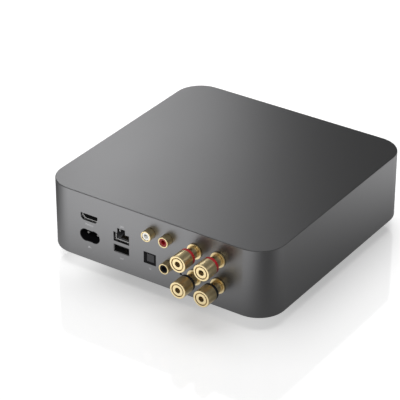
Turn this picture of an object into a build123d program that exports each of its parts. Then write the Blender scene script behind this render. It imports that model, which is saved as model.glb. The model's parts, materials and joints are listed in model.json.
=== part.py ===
"""Compact stereo amplifier with sockets and speaker posts on its rear panel, in separate pieces.

All sizes are millimetres. The case stands on the plane Z = 0, centred on the Z axis.
The rear panel faces +Y and the volume knob faces -Y.
"""

import os

from build123d import *

os.makedirs("parts", exist_ok=True)

# Case
CASE_WIDTH = 190.0
CASE_DEPTH = 190.0
CASE_HEIGHT = 53.3
CASE_LIFT = 9.7
CORNER_RADIUS = 21.2
WALL = 3.0
ROOF = 3.0
EDGE_ROUND = 0.5

# Clearances
SEAT_GAP = 0.1
RUNNING_GAP = 0.05
MOUTH_RECESS = 0.3

# Base plate, plinth and foot
PLATE_RECESS = 1.8
PLATE_THICKNESS = 1.6
VENT_WIDTH = 3.0
VENT_MARGIN = 3.5
VENT_PITCH = 9.0
VENT_COUNT = 13
PLINTH_INSET = 20.0
PLINTH_CORNER = 18.0
PLINTH_WALL = 2.5
PLINTH_FLOOR = 2.4
PLINTH_BOSS_INSET = 25.0
FOOT_INSET = 6.0
FOOT_THICKNESS = 2.4
FOOT_SUNK = 1.0

# Screws and the bosses that they go into
SCREW_RADIUS = 1.5
SCREW_LENGTH = 7.0
HEAD_RADIUS = 2.8
HEAD_HEIGHT = 1.6
DRIVE_WIDTH = 0.7
DRIVE_LENGTH = 2.8
DRIVE_DEPTH = 0.9
BOSS_RADIUS = 4.0
BOSS_INSET = 15.0
BOARD_BOSS_RADIUS = 3.0

# Circuit boards
BOARD_THICKNESS = 1.6
BOARD_SIDE_GAP = 2.0
BOARD_FRONT_INSET = 29.0
BOARD_SPLIT = 5.0
BOARD_GAP = 4.0
STANDOFF_INSET = 6.0
SOCKET_DEPTH = 13.0
REAR_BOARD_INSET = 28.0
REAR_BOARD_DROP = 3.0
REAR_BOARD_TOP_GAP = 3.5
BOARD_EDGE_GAP = 0.9

# Video socket, on the rear panel: distances from the centre line and above the case's lower edge
VIDEO_X = 54.9
VIDEO_RISE = 34.65
VIDEO_WIDTH = 14.5
VIDEO_HEIGHT = 5.3
VIDEO_CUT = 2.0
VIDEO_SETBACK = 2.4
VIDEO_TONGUE_WIDTH = 11.4
VIDEO_TONGUE_THICKNESS = 1.2
VIDEO_TONGUE_RISE = 0.5

# Data socket
DATA_X = 27.0
DATA_RISE = 18.05
DATA_WIDTH = 13.4
DATA_HEIGHT = 6.1
DATA_CORNER = 0.5
DATA_TONGUE_WIDTH = 11.0
DATA_TONGUE_THICKNESS = 1.8
DATA_TONGUE_RISE = 1.1

# What the two shielded sockets share
SHELL_SHEET = 0.35
SOCKET_BACK = 1.2
TONGUE_SETBACK = 1.6

# Network socket: the plug's cavity with the latch slot above it
NETWORK_X = 27.0
NETWORK_RISE = 23.6
NETWORK_WIDTH = 13.5
NETWORK_HEIGHT = 7.5
LATCH_WIDTH = 6.7
LATCH_HEIGHT = 3.7
NETWORK_JACKET = 1.2
NETWORK_SHEET = 0.25
NETWORK_LIP = 0.4
CONTACT_COUNT = 8
CONTACT_PITCH = 1.02
CONTACT_WIDTH = 0.45
CONTACT_LEAN = 3.2

# Optical socket and its hinged shutter
OPTICAL_X = 2.65
OPTICAL_RISE = 19.1
OPTICAL_WIDTH = 10.3
OPTICAL_HEIGHT = 9.0
OPTICAL_MOUTH = 6.7
SHUTTER_THICKNESS = 0.8
SHUTTER_SETBACK = 0.5
SHUTTER_KNUCKLE = 0.7
SHUTTER_PIN = 0.4
SHUTTER_PIN_LENGTH = 0.7
SHUTTER_GAP = 0.12
SHUTTER_LIP = 0.4
SHUTTER_POCKET = 0.7

# Phono sockets: a pair of line inputs and one subwoofer output
LINE_LEFT_X = 1.9
LINE_RIGHT_X = -12.6
LINE_RISE = 40.0
SUB_X = -13.0
SUB_RISE = 18.9
BARREL_RADIUS = 4.1
BARREL_WALL = 1.05
BARREL_REACH = 5.8
PHONO_BORE_RADIUS = 1.7
PHONO_BORE_DEPTH = 9.0
INSULATOR_SETBACK = 0.5
PHONO_BLOCK_HEIGHT = 11.6

# Mains inlet
INLET_X = 54.65
INLET_RISE = 19.9
INLET_WIDTH = 17.3
INLET_HEIGHT = 9.8
INLET_WAIST = 9.2
INLET_RIM = 0.5
INLET_RECESS = 11.5
INLET_BLOCK_WIDTH = 20.6
INLET_BLOCK_HEIGHT = 13.0
INLET_BLOCK_DEPTH = 17.0
INLET_PIN_RADIUS = 1.18
INLET_PIN_PITCH = 8.6
INLET_PIN_SETBACK = 3.4

# Reset button behind its pinhole
RESET_X = -23.6
RESET_RISE = 15.7
PINHOLE_RADIUS = 0.9
RESET_STEM_RADIUS = 1.2
RESET_BODY_SIZE = 4.5
RESET_BODY_DEPTH = 3.5
RESET_BODY_BACK = 0.8
RESET_TRAVEL = 0.3

# Speaker posts
POST_X = -44.95
POST_RISE = 27.9
POST_PITCH_X = 19.3
POST_PITCH_Z = 20.85
POST_REACH = 21.0
CAP_RADIUS = 6.35
CAP_LENGTH = 9.7
CAP_GROOVE_RADIUS = 4.95
CAP_GROOVE_DEPTH = 0.9
CAP_EDGE = 0.35
COLLAR_LENGTH = 2.3
STUD_RADIUS = 4.25
BANANA_RADIUS = 2.05
BANANA_DEPTH = 14.0
WIRE_HOLE_RADIUS = 1.25
WIRE_HOLE_SETBACK = 15.5
FLANGE_RADIUS = 5.8
FLANGE_THICKNESS = 0.9
POST_WASHER = 0.3
POST_WASHER_RADIUS = 5.5
BUSH_RADIUS = 4.2
SHANK_RADIUS = 3.0
INNER_WASHER = 1.0
NUT_ACROSS_FLATS = 10.0
NUT_HEIGHT = 3.0
SHANK_TAIL = 1.0

# Front control, on its own board
KNOB_INSET = 45.0
KNOB_RISE = 26.6
KNOB_RADIUS = 16.0
KNOB_LENGTH = 11.0
KNOB_EDGE = 0.8
KNOB_STANDOFF = 1.0
KNOB_SOCKET_DEPTH = 7.0
KNOB_RECESS_RADIUS = 8.0
KNOB_RECESS_DEPTH = 2.5
SHAFT_RADIUS = 3.0
SHAFT_DISC_THICKNESS = 1.2
BUSHING_RADIUS = 3.5
BUSHING_PROUD = 1.8
ENCODER_SIZE = 12.6
ENCODER_BACK = 0.6
ENCODER_CAVITY_RADIUS = 4.6
ENCODER_CAVITY_DEPTH = 3.9
PLUNGER_THICKNESS = 1.8
ENCODER_NUT_FLATS = 10.0
ENCODER_NUT_HEIGHT = 1.4
FRONT_BOARD_GAP = 8.0
FRONT_BOARD_HEIGHT = 36.0
FRONT_BOARD_WIDTH = 100.0
FRONT_BOARD_OFFSET = 28.0
LIGHT_PIPE_RADIUS = 1.25
LIGHT_PIPE_OFFSET = 30.0
LIGHT_PIPE_FLANGE = 2.2
LIGHT_PIPE_FLANGE_THICKNESS = 1.0

# Parts on the amplifier board
CHIP_WIDTH = 14.0
CHIP_DEPTH = 10.0
CHIP_HEIGHT = 1.2
CHIP_INSET = 36.0
CHIP_OFFSET = 14.75
PAD_THICKNESS = 0.8
SINK_WIDTH = 52.0
SINK_DEPTH = 40.0
SINK_BASE = 4.0
FIN_HEIGHT = 20.0
FIN_THICKNESS = 1.5
FIN_COUNT = 9
SINK_LEG_RADIUS = 3.0
INDUCTOR_SIZE = 12.0
INDUCTOR_HEIGHT = 9.0
INDUCTOR_PITCH = 16.0
INDUCTOR_COUNT = 4
INDUCTOR_INSET = 14.5
CAN_RADIUS = 5.0
CAN_HEIGHT = 18.0
CAN_ROUND = 0.8
CAN_PITCH = 13.0
CAN_COUNT = 3
MAIN_CANS_GAP = 3.0
SUPPLY_CANS_INSET = 22.0
SHIELD_WIDTH = 34.0
SHIELD_DEPTH = 28.0
SHIELD_HEIGHT = 3.4
SHIELD_SHEET = 0.4
SHIELD_SIDE = 48.0
SHIELD_INSET = 24.0
PROCESSOR_SIZE = 14.0
PROCESSOR_HEIGHT = 1.3
MEMORY_WIDTH = 9.0
CONVERTER_SIZE = 7.0
CONVERTER_INSET = 7.5
CONVERTER_OFFSET = 20.75
RADIO_WIDTH = 14.0
RADIO_DEPTH = 20.0
RADIO_BOARD = 0.8
RADIO_CAN = 2.2
RADIO_RIM = 1.0
RADIO_SIDE = 12.0
RADIO_INSET = 22.0
ANTENNA_LENGTH = 34.0
ANTENNA_WIDTH = 7.0
ANTENNA_THICKNESS = 0.8
ANTENNA_SPACING = 22.0
LEAD_RADIUS = 0.7
LEAD_BEND = 2.5
LEAD_SPACING = 3.0
LEAD_STAGGER = 2.4
LEAD_HOLE_RADIUS = 3.2
LEAD_HOLE_GAP = 10.0

# Parts on the supply board
CAPACITOR_RADIUS = 11.0
CAPACITOR_HEIGHT = 31.0
CAPACITOR_INSET = 28.5
CAPACITOR_SIDE = 14.0
TRANSFORMER_SIDE = 46.0
TRANSFORMER_OFFSET = 10.75
CORE_WIDTH = 34.0
CORE_DEPTH = 12.0
CORE_HEIGHT = 28.0
CORE_LIMB = 6.0
BOBBIN_DEPTH = 24.0
PLATE_SINK_SIDE = 15.0
PLATE_SINK_OFFSET = 4.75
PLATE_SINK_WIDTH = 26.0
PLATE_SINK_HEIGHT = 30.0
PLATE_SINK_THICKNESS = 3.0
PLATE_SINK_FIN = 9.0
PLATE_SINK_FINS = 6
CHOKE_SIDE = 46.0
CHOKE_INSET = 12.5
CHOKE_WIDTH = 20.0
CHOKE_HEIGHT = 18.0
CHOKE_DEPTH = 7.0
CHOKE_LIMB = 5.0
CHOKE_COIL_RADIUS = 6.0
FUSE_SIDE = 46.0
FUSE_INSET = 29.5
FUSE_LENGTH = 20.0
FUSE_RADIUS = 2.6
FUSE_CAP_LENGTH = 5.0
FUSE_GLASS_STEP = 0.2

# Links between the boards
HEADER_WIDTH = 18.0
HEADER_DEPTH = 10.0
HEADER_HEIGHT = 8.0
RIBBON_WIDTH = 12.0
RIBBON_THICKNESS = 0.8
RIBBON_OFFSET = 40.0
RIBBON_RISE = 8.0
RIBBON_BEND = 3.0
PLUG_DEPTH = 4.0
PLUG_HEIGHT = 3.0
LINK_OFFSET = 17.25
LINK_RISE = 9.0
LINK_INSET = 4.0

# Where the faces lie
REAR = CASE_DEPTH / 2
PANEL = REAR - WALL
FRONT = -CASE_DEPTH / 2
FRONT_INSIDE = FRONT + WALL
KNOB_X = CASE_WIDTH / 2 - KNOB_INSET
FRONT_BOARD_X = KNOB_X - FRONT_BOARD_OFFSET
CASE_TOP = CASE_LIFT + CASE_HEIGHT
CEILING = CASE_TOP - ROOF
PLATE_BOTTOM = CASE_LIFT + PLATE_RECESS
PLATE_TOP = PLATE_BOTTOM + PLATE_THICKNESS
PLINTH_BOTTOM = FOOT_THICKNESS - FOOT_SUNK
PLINTH_INSIDE = PLINTH_BOTTOM + PLINTH_FLOOR
PLINTH_WIDTH = CASE_WIDTH - 2 * PLINTH_INSET
PLINTH_DEPTH = CASE_DEPTH - 2 * PLINTH_INSET
PLINTH_BOSS_X = PLINTH_WIDTH / 2 - PLINTH_BOSS_INSET
PLINTH_BOSS_Y = PLINTH_DEPTH / 2 - PLINTH_BOSS_INSET
HOLE_RADIUS = SCREW_RADIUS + SEAT_GAP

# Heights of the sockets above the floor
VIDEO_Z = CASE_LIFT + VIDEO_RISE
DATA_Z = CASE_LIFT + DATA_RISE
NETWORK_Z = CASE_LIFT + NETWORK_RISE + NETWORK_HEIGHT / 2
OPTICAL_Z = CASE_LIFT + OPTICAL_RISE
LINE_Z = CASE_LIFT + LINE_RISE
SUB_Z = CASE_LIFT + SUB_RISE
INLET_Z = CASE_LIFT + INLET_RISE
RESET_Z = CASE_LIFT + RESET_RISE
POST_Z = CASE_LIFT + POST_RISE
KNOB_Z = CASE_LIFT + KNOB_RISE

# The mains inlet sits on the supply board, which sets the height of both level boards
BOARD_TOP = INLET_Z - INLET_BLOCK_HEIGHT / 2
BOARD_BOTTOM = BOARD_TOP - BOARD_THICKNESS
BOARD_SIDE = CASE_WIDTH / 2 - BOSS_INSET - BOSS_RADIUS - BOARD_SIDE_GAP
BOARD_FRONT = FRONT + BOARD_FRONT_INSET
REAR_BOARD_FACE = PANEL - SOCKET_DEPTH
REAR_BOARD_BACK = REAR_BOARD_FACE - BOARD_THICKNESS
REAR_BOARD_WIDTH = CASE_WIDTH - 2 * REAR_BOARD_INSET
SHANK_END = REAR_BOARD_BACK - NUT_HEIGHT - SHANK_TAIL
BOARD_REAR = SHANK_END - BOARD_EDGE_GAP
FRONT_BOARD_FACE = FRONT_INSIDE + FRONT_BOARD_GAP
FRONT_BOARD_BACK = FRONT_BOARD_FACE + BOARD_THICKNESS
BOSS_X = CASE_WIDTH / 2 - BOSS_INSET
BOSS_Y = CASE_DEPTH / 2 - BOSS_INSET

POSTS = {
    "red_outer": (POST_X - POST_PITCH_X / 2, POST_Z + POST_PITCH_Z / 2),
    "red_inner": (POST_X + POST_PITCH_X / 2, POST_Z + POST_PITCH_Z / 2),
    "black_outer": (POST_X - POST_PITCH_X / 2, POST_Z - POST_PITCH_Z / 2),
    "black_inner": (POST_X + POST_PITCH_X / 2, POST_Z - POST_PITCH_Z / 2),
}
PHONO_PLACES = [(LINE_LEFT_X, LINE_Z), (LINE_RIGHT_X, LINE_Z), (SUB_X, SUB_Z)]

# Screws of the rear board stand in the gaps between the sockets
REAR_BOSSES = [
    ((VIDEO_X + NETWORK_X) / 2, LINE_Z),
    ((DATA_X + OPTICAL_X) / 2, (OPTICAL_Z + LINE_Z) / 2),
    (RESET_X, (RESET_Z + LINE_Z) / 2 + BOARD_BOSS_RADIUS),
]
FRONT_BOSSES = [
    (FRONT_BOARD_X - FRONT_BOARD_WIDTH / 2 + STANDOFF_INSET, KNOB_Z),
    (FRONT_BOARD_X + FRONT_BOARD_WIDTH / 2 - STANDOFF_INSET, KNOB_Z - FRONT_BOARD_HEIGHT / 3),
    (FRONT_BOARD_X + FRONT_BOARD_WIDTH / 2 - STANDOFF_INSET, KNOB_Z + FRONT_BOARD_HEIGHT / 3),
]
LIGHT_PIPE_X = KNOB_X - LIGHT_PIPE_OFFSET
RADIO_X = RADIO_SIDE - BOARD_SIDE
RADIO_Y = BOARD_FRONT + RADIO_INSET
LEAD_HOLE_Y = RADIO_Y + RADIO_DEPTH / 2 + LEAD_HOLE_GAP

# Level boards: the amplifier board on the -X side and the supply board on the +X side
BOARD_MID_Y = (BOARD_FRONT + BOARD_REAR) / 2
BOARD_LENGTH = BOARD_REAR - BOARD_FRONT
CHIP_Y = BOARD_MID_Y + CHIP_OFFSET
CONVERTER_Y = BOARD_MID_Y + CONVERTER_OFFSET
INDUCTOR_Y = BOARD_REAR - INDUCTOR_INSET
MAIN_CANS_Y = CHIP_Y - SINK_DEPTH / 2 - MAIN_CANS_GAP - CAN_RADIUS
SUPPLY_CANS_Y = BOARD_FRONT + SUPPLY_CANS_INSET
SHIELD_Y = BOARD_FRONT + SHIELD_INSET
CAPACITOR_Y = BOARD_REAR - CAPACITOR_INSET
TRANSFORMER_Y = BOARD_MID_Y + TRANSFORMER_OFFSET
PLATE_SINK_Y = BOARD_MID_Y + PLATE_SINK_OFFSET
CHOKE_Y = BOARD_REAR - CHOKE_INSET
FUSE_Y = BOARD_REAR - FUSE_INSET
LINK_Y = BOARD_MID_Y - LINK_OFFSET
MAIN_EDGE = BOARD_SPLIT - BOARD_GAP / 2
SUPPLY_EDGE = BOARD_SPLIT + BOARD_GAP / 2
MAIN_WIDTH = BOARD_SIDE + MAIN_EDGE
MAIN_X = (MAIN_EDGE - BOARD_SIDE) / 2
SUPPLY_WIDTH = BOARD_SIDE - SUPPLY_EDGE
SUPPLY_X = (BOARD_SIDE + SUPPLY_EDGE) / 2
CHIP_X = CHIP_INSET - BOARD_SIDE
SHIELD_X = SHIELD_SIDE - BOARD_SIDE
CONVERTER_X = MAIN_EDGE - CONVERTER_INSET
TRANSFORMER_X = BOARD_SIDE - TRANSFORMER_SIDE
PLATE_SINK_X = BOARD_SIDE - PLATE_SINK_SIDE
CHOKE_X = BOARD_SIDE - CHOKE_SIDE
FUSE_X = BOARD_SIDE - FUSE_SIDE
STANDOFF_SPAN_Y = BOARD_LENGTH - 2 * STANDOFF_INSET
STANDOFFS = [
    (MAIN_X + side * (MAIN_WIDTH / 2 - STANDOFF_INSET), BOARD_MID_Y + end * STANDOFF_SPAN_Y / 2)
    for side in (-1, 1)
    for end in (-1, 1)
] + [
    (SUPPLY_X + side * (SUPPLY_WIDTH / 2 - STANDOFF_INSET), BOARD_MID_Y + end * STANDOFF_SPAN_Y / 2)
    for side in (-1, 1)
    for end in (-1, 1)
]


def upright(depth):
    """Plane at Y = depth whose x is X and whose y is Z. Extruding from it goes towards -Y."""
    return Plane.XZ.offset(-depth)


def screw():
    """Pan-head screw with its seat at the origin, its head above and its shank down -Z."""
    with BuildPart() as fastener:
        Cylinder(SCREW_RADIUS, SCREW_LENGTH, align=(Align.CENTER, Align.CENTER, Align.MAX))
        Cylinder(HEAD_RADIUS, HEAD_HEIGHT, align=(Align.CENTER, Align.CENTER, Align.MIN))
        fillet(fastener.faces().sort_by(Axis.Z)[-1].edges(), HEAD_HEIGHT / 3)
        with BuildSketch(Plane.XY.offset(HEAD_HEIGHT)):
            Rectangle(DRIVE_LENGTH, DRIVE_WIDTH)
            Rectangle(DRIVE_WIDTH, DRIVE_LENGTH)
        extrude(amount=-DRIVE_DEPTH, mode=Mode.SUBTRACT)
    return fastener.part


def video_outline(grow):
    """Mouth of the video socket: a rectangle with its two lower corners cut off."""
    half = VIDEO_WIDTH / 2 + grow
    rise = VIDEO_HEIGHT / 2 + grow
    with BuildSketch() as outline:
        with BuildLine():
            Polyline(
                (-half, rise),
                (half, rise),
                (half, VIDEO_CUT - rise),
                (half - VIDEO_CUT, -rise),
                (VIDEO_CUT - half, -rise),
                (-half, VIDEO_CUT - rise),
                close=True,
            )
        make_face()
    return outline.sketch


def network_outline(grow):
    """Cavity of the network socket: the plug's rectangle with the latch slot above it."""
    slot_height = LATCH_HEIGHT + NETWORK_HEIGHT / 2
    with BuildSketch() as outline:
        Rectangle(NETWORK_WIDTH + 2 * grow, NETWORK_HEIGHT + 2 * grow)
        with Locations((0, slot_height / 2)):
            Rectangle(LATCH_WIDTH + 2 * grow, slot_height + 2 * grow)
    return outline.sketch


def inlet_outline(grow):
    """Mouth of the mains inlet: two round lobes joined by a slightly lower waist."""
    lobe_spacing = INLET_WIDTH - INLET_HEIGHT
    with BuildSketch() as outline:
        with GridLocations(lobe_spacing, 1, 2, 1):
            Circle(INLET_HEIGHT / 2 + grow)
        Rectangle(lobe_spacing, INLET_WAIST + 2 * grow)
    return outline.sketch


# Housing: one aluminium shell with four walls and a roof, open at the bottom
with BuildPart() as housing:
    with BuildSketch(Plane.XY.offset(CASE_LIFT)):
        RectangleRounded(CASE_WIDTH, CASE_DEPTH, CORNER_RADIUS)
    extrude(amount=CASE_HEIGHT)
    fillet(housing.faces().sort_by(Axis.Z)[-1].edges(), EDGE_ROUND)
    fillet(housing.faces().sort_by(Axis.Z)[0].edges(), EDGE_ROUND)
    with BuildSketch(Plane.XY.offset(CASE_LIFT)):
        RectangleRounded(CASE_WIDTH - 2 * WALL, CASE_DEPTH - 2 * WALL, CORNER_RADIUS - WALL)
    extrude(amount=CEILING - CASE_LIFT, mode=Mode.SUBTRACT)
    # Corner columns for the base plate's screws
    with BuildSketch(Plane.XY.offset(PLATE_TOP)):
        with GridLocations(2 * BOSS_X, 2 * BOSS_Y, 2, 2):
            Circle(BOSS_RADIUS)
    extrude(amount=CEILING - PLATE_TOP)
    with BuildSketch(Plane.XY.offset(PLATE_TOP)):
        with GridLocations(2 * BOSS_X, 2 * BOSS_Y, 2, 2):
            Circle(HOLE_RADIUS)
    extrude(amount=SCREW_LENGTH, mode=Mode.SUBTRACT)
    # Bosses that carry the two upright boards
    with BuildSketch(upright(PANEL)):
        with Locations(*REAR_BOSSES):
            Circle(BOARD_BOSS_RADIUS)
    extrude(amount=SOCKET_DEPTH)
    with BuildSketch(upright(REAR_BOARD_FACE)):
        with Locations(*REAR_BOSSES):
            Circle(HOLE_RADIUS)
    extrude(amount=-SCREW_LENGTH, mode=Mode.SUBTRACT)
    with BuildSketch(upright(FRONT_BOARD_FACE)):
        with Locations(*FRONT_BOSSES):
            Circle(BOARD_BOSS_RADIUS)
    extrude(amount=FRONT_BOARD_GAP)
    with BuildSketch(upright(FRONT_BOARD_FACE)):
        with Locations(*FRONT_BOSSES):
            Circle(HOLE_RADIUS)
    extrude(amount=SCREW_LENGTH, mode=Mode.SUBTRACT)
    # Openings in the rear panel
    with BuildSketch(upright(REAR)):
        with Locations((VIDEO_X, VIDEO_Z)):
            add(video_outline(SEAT_GAP))
        with Locations((DATA_X, DATA_Z)):
            RectangleRounded(DATA_WIDTH + 2 * SEAT_GAP, DATA_HEIGHT + 2 * SEAT_GAP, DATA_CORNER)
        with Locations((NETWORK_X, NETWORK_Z)):
            add(network_outline(0))
        with Locations((OPTICAL_X, OPTICAL_Z)):
            Rectangle(OPTICAL_WIDTH + 2 * SEAT_GAP, OPTICAL_HEIGHT + 2 * SEAT_GAP)
        with Locations((INLET_X, INLET_Z)):
            add(inlet_outline(SEAT_GAP))
        with Locations(*PHONO_PLACES):
            Circle(BARREL_RADIUS + SEAT_GAP)
        with Locations((RESET_X, RESET_Z)):
            Circle(PINHOLE_RADIUS)
        with Locations(*POSTS.values()):
            Circle(BUSH_RADIUS + SEAT_GAP)
    extrude(amount=WALL, mode=Mode.SUBTRACT)
    # Openings in the front wall
    with BuildSketch(upright(FRONT_INSIDE)):
        with Locations((KNOB_X, KNOB_Z)):
            Circle(BUSHING_RADIUS + SEAT_GAP)
        with Locations((LIGHT_PIPE_X, KNOB_Z)):
            Circle(LIGHT_PIPE_RADIUS + RUNNING_GAP)
    extrude(amount=WALL, mode=Mode.SUBTRACT)
housing.part.label = "housing_shell"
export_step(housing.part, "parts/housing_shell.step")

# Base plate, with pressed standoffs for the level boards and rows of vent slots round its edge
VENT_LENGTH = PLINTH_INSET - WALL - 2 * VENT_MARGIN
VENT_Y = PLINTH_DEPTH / 2 + (PLINTH_INSET - WALL) / 2
VENT_X = PLINTH_WIDTH / 2 + (PLINTH_INSET - WALL) / 2
with BuildPart() as base_plate:
    with BuildSketch(Plane.XY.offset(PLATE_BOTTOM)):
        RectangleRounded(
            CASE_WIDTH - 2 * (WALL + SEAT_GAP),
            CASE_DEPTH - 2 * (WALL + SEAT_GAP),
            CORNER_RADIUS - WALL - SEAT_GAP,
        )
    extrude(amount=PLATE_THICKNESS)
    with BuildSketch(Plane.XY.offset(PLATE_TOP)):
        with Locations(*STANDOFFS):
            Circle(BOARD_BOSS_RADIUS)
    extrude(amount=BOARD_BOTTOM - PLATE_TOP)
    with BuildSketch(Plane.XY.offset(BOARD_BOTTOM)):
        with Locations(*STANDOFFS):
            Circle(HOLE_RADIUS)
    extrude(amount=BOARD_THICKNESS - SCREW_LENGTH, mode=Mode.SUBTRACT)
    with BuildSketch(Plane.XY.offset(PLATE_BOTTOM)):
        with GridLocations(2 * BOSS_X, 2 * BOSS_Y, 2, 2):
            Circle(HOLE_RADIUS)
        with GridLocations(2 * PLINTH_BOSS_X, 2 * PLINTH_BOSS_Y, 2, 2):
            Circle(HOLE_RADIUS)
        with GridLocations(VENT_PITCH, 2 * VENT_Y, VENT_COUNT, 2):
            Rectangle(VENT_WIDTH, VENT_LENGTH)
        with GridLocations(2 * VENT_X, VENT_PITCH, 2, VENT_COUNT):
            Rectangle(VENT_LENGTH, VENT_WIDTH)
        with Locations((RADIO_X, LEAD_HOLE_Y)):
            Circle(LEAD_HOLE_RADIUS)
    extrude(amount=PLATE_THICKNESS, mode=Mode.SUBTRACT)
base_plate.part.label = "base_plate"
export_step(base_plate.part, "parts/base_plate.step")

# Plinth: a shallow moulded tray under the base plate, set in from the case so that the case floats
with BuildPart() as plinth:
    with BuildSketch(Plane.XY.offset(PLINTH_BOTTOM)):
        RectangleRounded(PLINTH_WIDTH, PLINTH_DEPTH, PLINTH_CORNER)
    extrude(amount=PLATE_BOTTOM - PLINTH_BOTTOM)
    with BuildSketch(Plane.XY.offset(PLINTH_INSIDE)):
        RectangleRounded(
            PLINTH_WIDTH - 2 * PLINTH_WALL,
            PLINTH_DEPTH - 2 * PLINTH_WALL,
            PLINTH_CORNER - PLINTH_WALL,
        )
    extrude(amount=PLATE_BOTTOM - PLINTH_INSIDE, mode=Mode.SUBTRACT)
    with BuildSketch(Plane.XY.offset(PLINTH_INSIDE)):
        with GridLocations(2 * PLINTH_BOSS_X, 2 * PLINTH_BOSS_Y, 2, 2):
            Circle(BOSS_RADIUS)
    extrude(amount=PLATE_BOTTOM - PLINTH_INSIDE)
    with BuildSketch(Plane.XY.offset(PLATE_BOTTOM)):
        with GridLocations(2 * PLINTH_BOSS_X, 2 * PLINTH_BOSS_Y, 2, 2):
            Circle(HOLE_RADIUS)
    extrude(amount=PLATE_THICKNESS - SCREW_LENGTH, mode=Mode.SUBTRACT)
    with BuildSketch(Plane.XY.offset(PLINTH_BOTTOM)):
        RectangleRounded(
            PLINTH_WIDTH - 2 * (FOOT_INSET - SEAT_GAP),
            PLINTH_DEPTH - 2 * (FOOT_INSET - SEAT_GAP),
            PLINTH_CORNER - FOOT_INSET + SEAT_GAP,
        )
    extrude(amount=FOOT_SUNK, mode=Mode.SUBTRACT)
plinth.part.label = "base_plinth"
export_step(plinth.part, "parts/base_plinth.step")

# Rubber foot: a sheet let into the underside of the plinth
with BuildPart() as foot:
    with BuildSketch():
        RectangleRounded(
            PLINTH_WIDTH - 2 * FOOT_INSET,
            PLINTH_DEPTH - 2 * FOOT_INSET,
            PLINTH_CORNER - FOOT_INSET,
        )
    extrude(amount=FOOT_THICKNESS)
foot.part.label = "rubber_foot"
export_step(foot.part, "parts/rubber_foot.step")

# Screws of the case: four up into the corner columns, and four down into the plinth
with BuildPart() as case_screws:
    with GridLocations(2 * BOSS_X, 2 * BOSS_Y, 2, 2):
        with Locations((0, 0, PLATE_BOTTOM)):
            add(screw(), rotation=(180, 0, 0))
    with GridLocations(2 * PLINTH_BOSS_X, 2 * PLINTH_BOSS_Y, 2, 2):
        with Locations((0, 0, PLATE_TOP)):
            add(screw())
case_screws.part.label = "case_screws"
export_step(case_screws.part, "parts/case_screws.step")

# Amplifier board
with BuildPart() as main_board:
    with BuildSketch(Plane.XY.offset(BOARD_BOTTOM)):
        with Locations((MAIN_X, BOARD_MID_Y)):
            Rectangle(MAIN_WIDTH, BOARD_LENGTH)
        with Locations(*STANDOFFS[:4]):
            Circle(HOLE_RADIUS, mode=Mode.SUBTRACT)
        with Locations((RADIO_X, LEAD_HOLE_Y)):
            Circle(LEAD_HOLE_RADIUS, mode=Mode.SUBTRACT)
    extrude(amount=BOARD_THICKNESS)
main_board.part.label = "main_board"
export_step(main_board.part, "parts/main_board.step")

# Supply board, with a tongue that reaches back under the mains inlet
INLET_TONGUE_LEFT = INLET_X - INLET_BLOCK_WIDTH / 2
INLET_TONGUE_WIDTH = BOARD_SIDE - INLET_TONGUE_LEFT
INLET_TONGUE_LENGTH = PANEL - BOARD_EDGE_GAP - BOARD_REAR
with BuildPart() as supply_board:
    with BuildSketch(Plane.XY.offset(BOARD_BOTTOM)):
        with Locations((SUPPLY_X, BOARD_MID_Y)):
            Rectangle(SUPPLY_WIDTH, BOARD_LENGTH)
        with Locations((INLET_TONGUE_LEFT, BOARD_REAR)):
            Rectangle(INLET_TONGUE_WIDTH, INLET_TONGUE_LENGTH, align=(Align.MIN, Align.MIN))
        with Locations(*STANDOFFS[4:]):
            Circle(HOLE_RADIUS, mode=Mode.SUBTRACT)
    extrude(amount=BOARD_THICKNESS)
supply_board.part.label = "supply_board"
export_step(supply_board.part, "parts/supply_board.step")

# Rear board: every rear socket is soldered to it, apart from the mains inlet, which it clears
REAR_BOARD_BOTTOM = BOARD_BOTTOM - REAR_BOARD_DROP
REAR_BOARD_TOP = CEILING - REAR_BOARD_TOP_GAP
NOTCH_LEFT = INLET_TONGUE_LEFT - BOARD_EDGE_GAP
NOTCH_TOP = INLET_Z + INLET_BLOCK_HEIGHT / 2 + BOARD_EDGE_GAP
with BuildPart() as rear_board:
    with BuildSketch(upright(REAR_BOARD_FACE)):
        with Locations((0, REAR_BOARD_BOTTOM)):
            Rectangle(
                REAR_BOARD_WIDTH,
                REAR_BOARD_TOP - REAR_BOARD_BOTTOM,
                align=(Align.CENTER, Align.MIN),
            )
        with Locations((NOTCH_LEFT, REAR_BOARD_BOTTOM)):
            Rectangle(
                REAR_BOARD_WIDTH / 2 - NOTCH_LEFT,
                NOTCH_TOP - REAR_BOARD_BOTTOM,
                align=(Align.MIN, Align.MIN),
                mode=Mode.SUBTRACT,
            )
        with Locations(*POSTS.values()):
            Circle(SHANK_RADIUS + SEAT_GAP, mode=Mode.SUBTRACT)
        with Locations(*REAR_BOSSES):
            Circle(HOLE_RADIUS, mode=Mode.SUBTRACT)
    extrude(amount=BOARD_THICKNESS)
rear_board.part.label = "rear_board"
export_step(rear_board.part, "parts/rear_board.step")

# Front board, behind the volume control
with BuildPart() as front_board:
    with BuildSketch(upright(FRONT_BOARD_BACK)):
        with Locations((FRONT_BOARD_X, KNOB_Z)):
            Rectangle(FRONT_BOARD_WIDTH, FRONT_BOARD_HEIGHT)
        with Locations(*FRONT_BOSSES):
            Circle(HOLE_RADIUS, mode=Mode.SUBTRACT)
    extrude(amount=BOARD_THICKNESS)
front_board.part.label = "front_board"
export_step(front_board.part, "parts/front_board.step")

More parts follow.
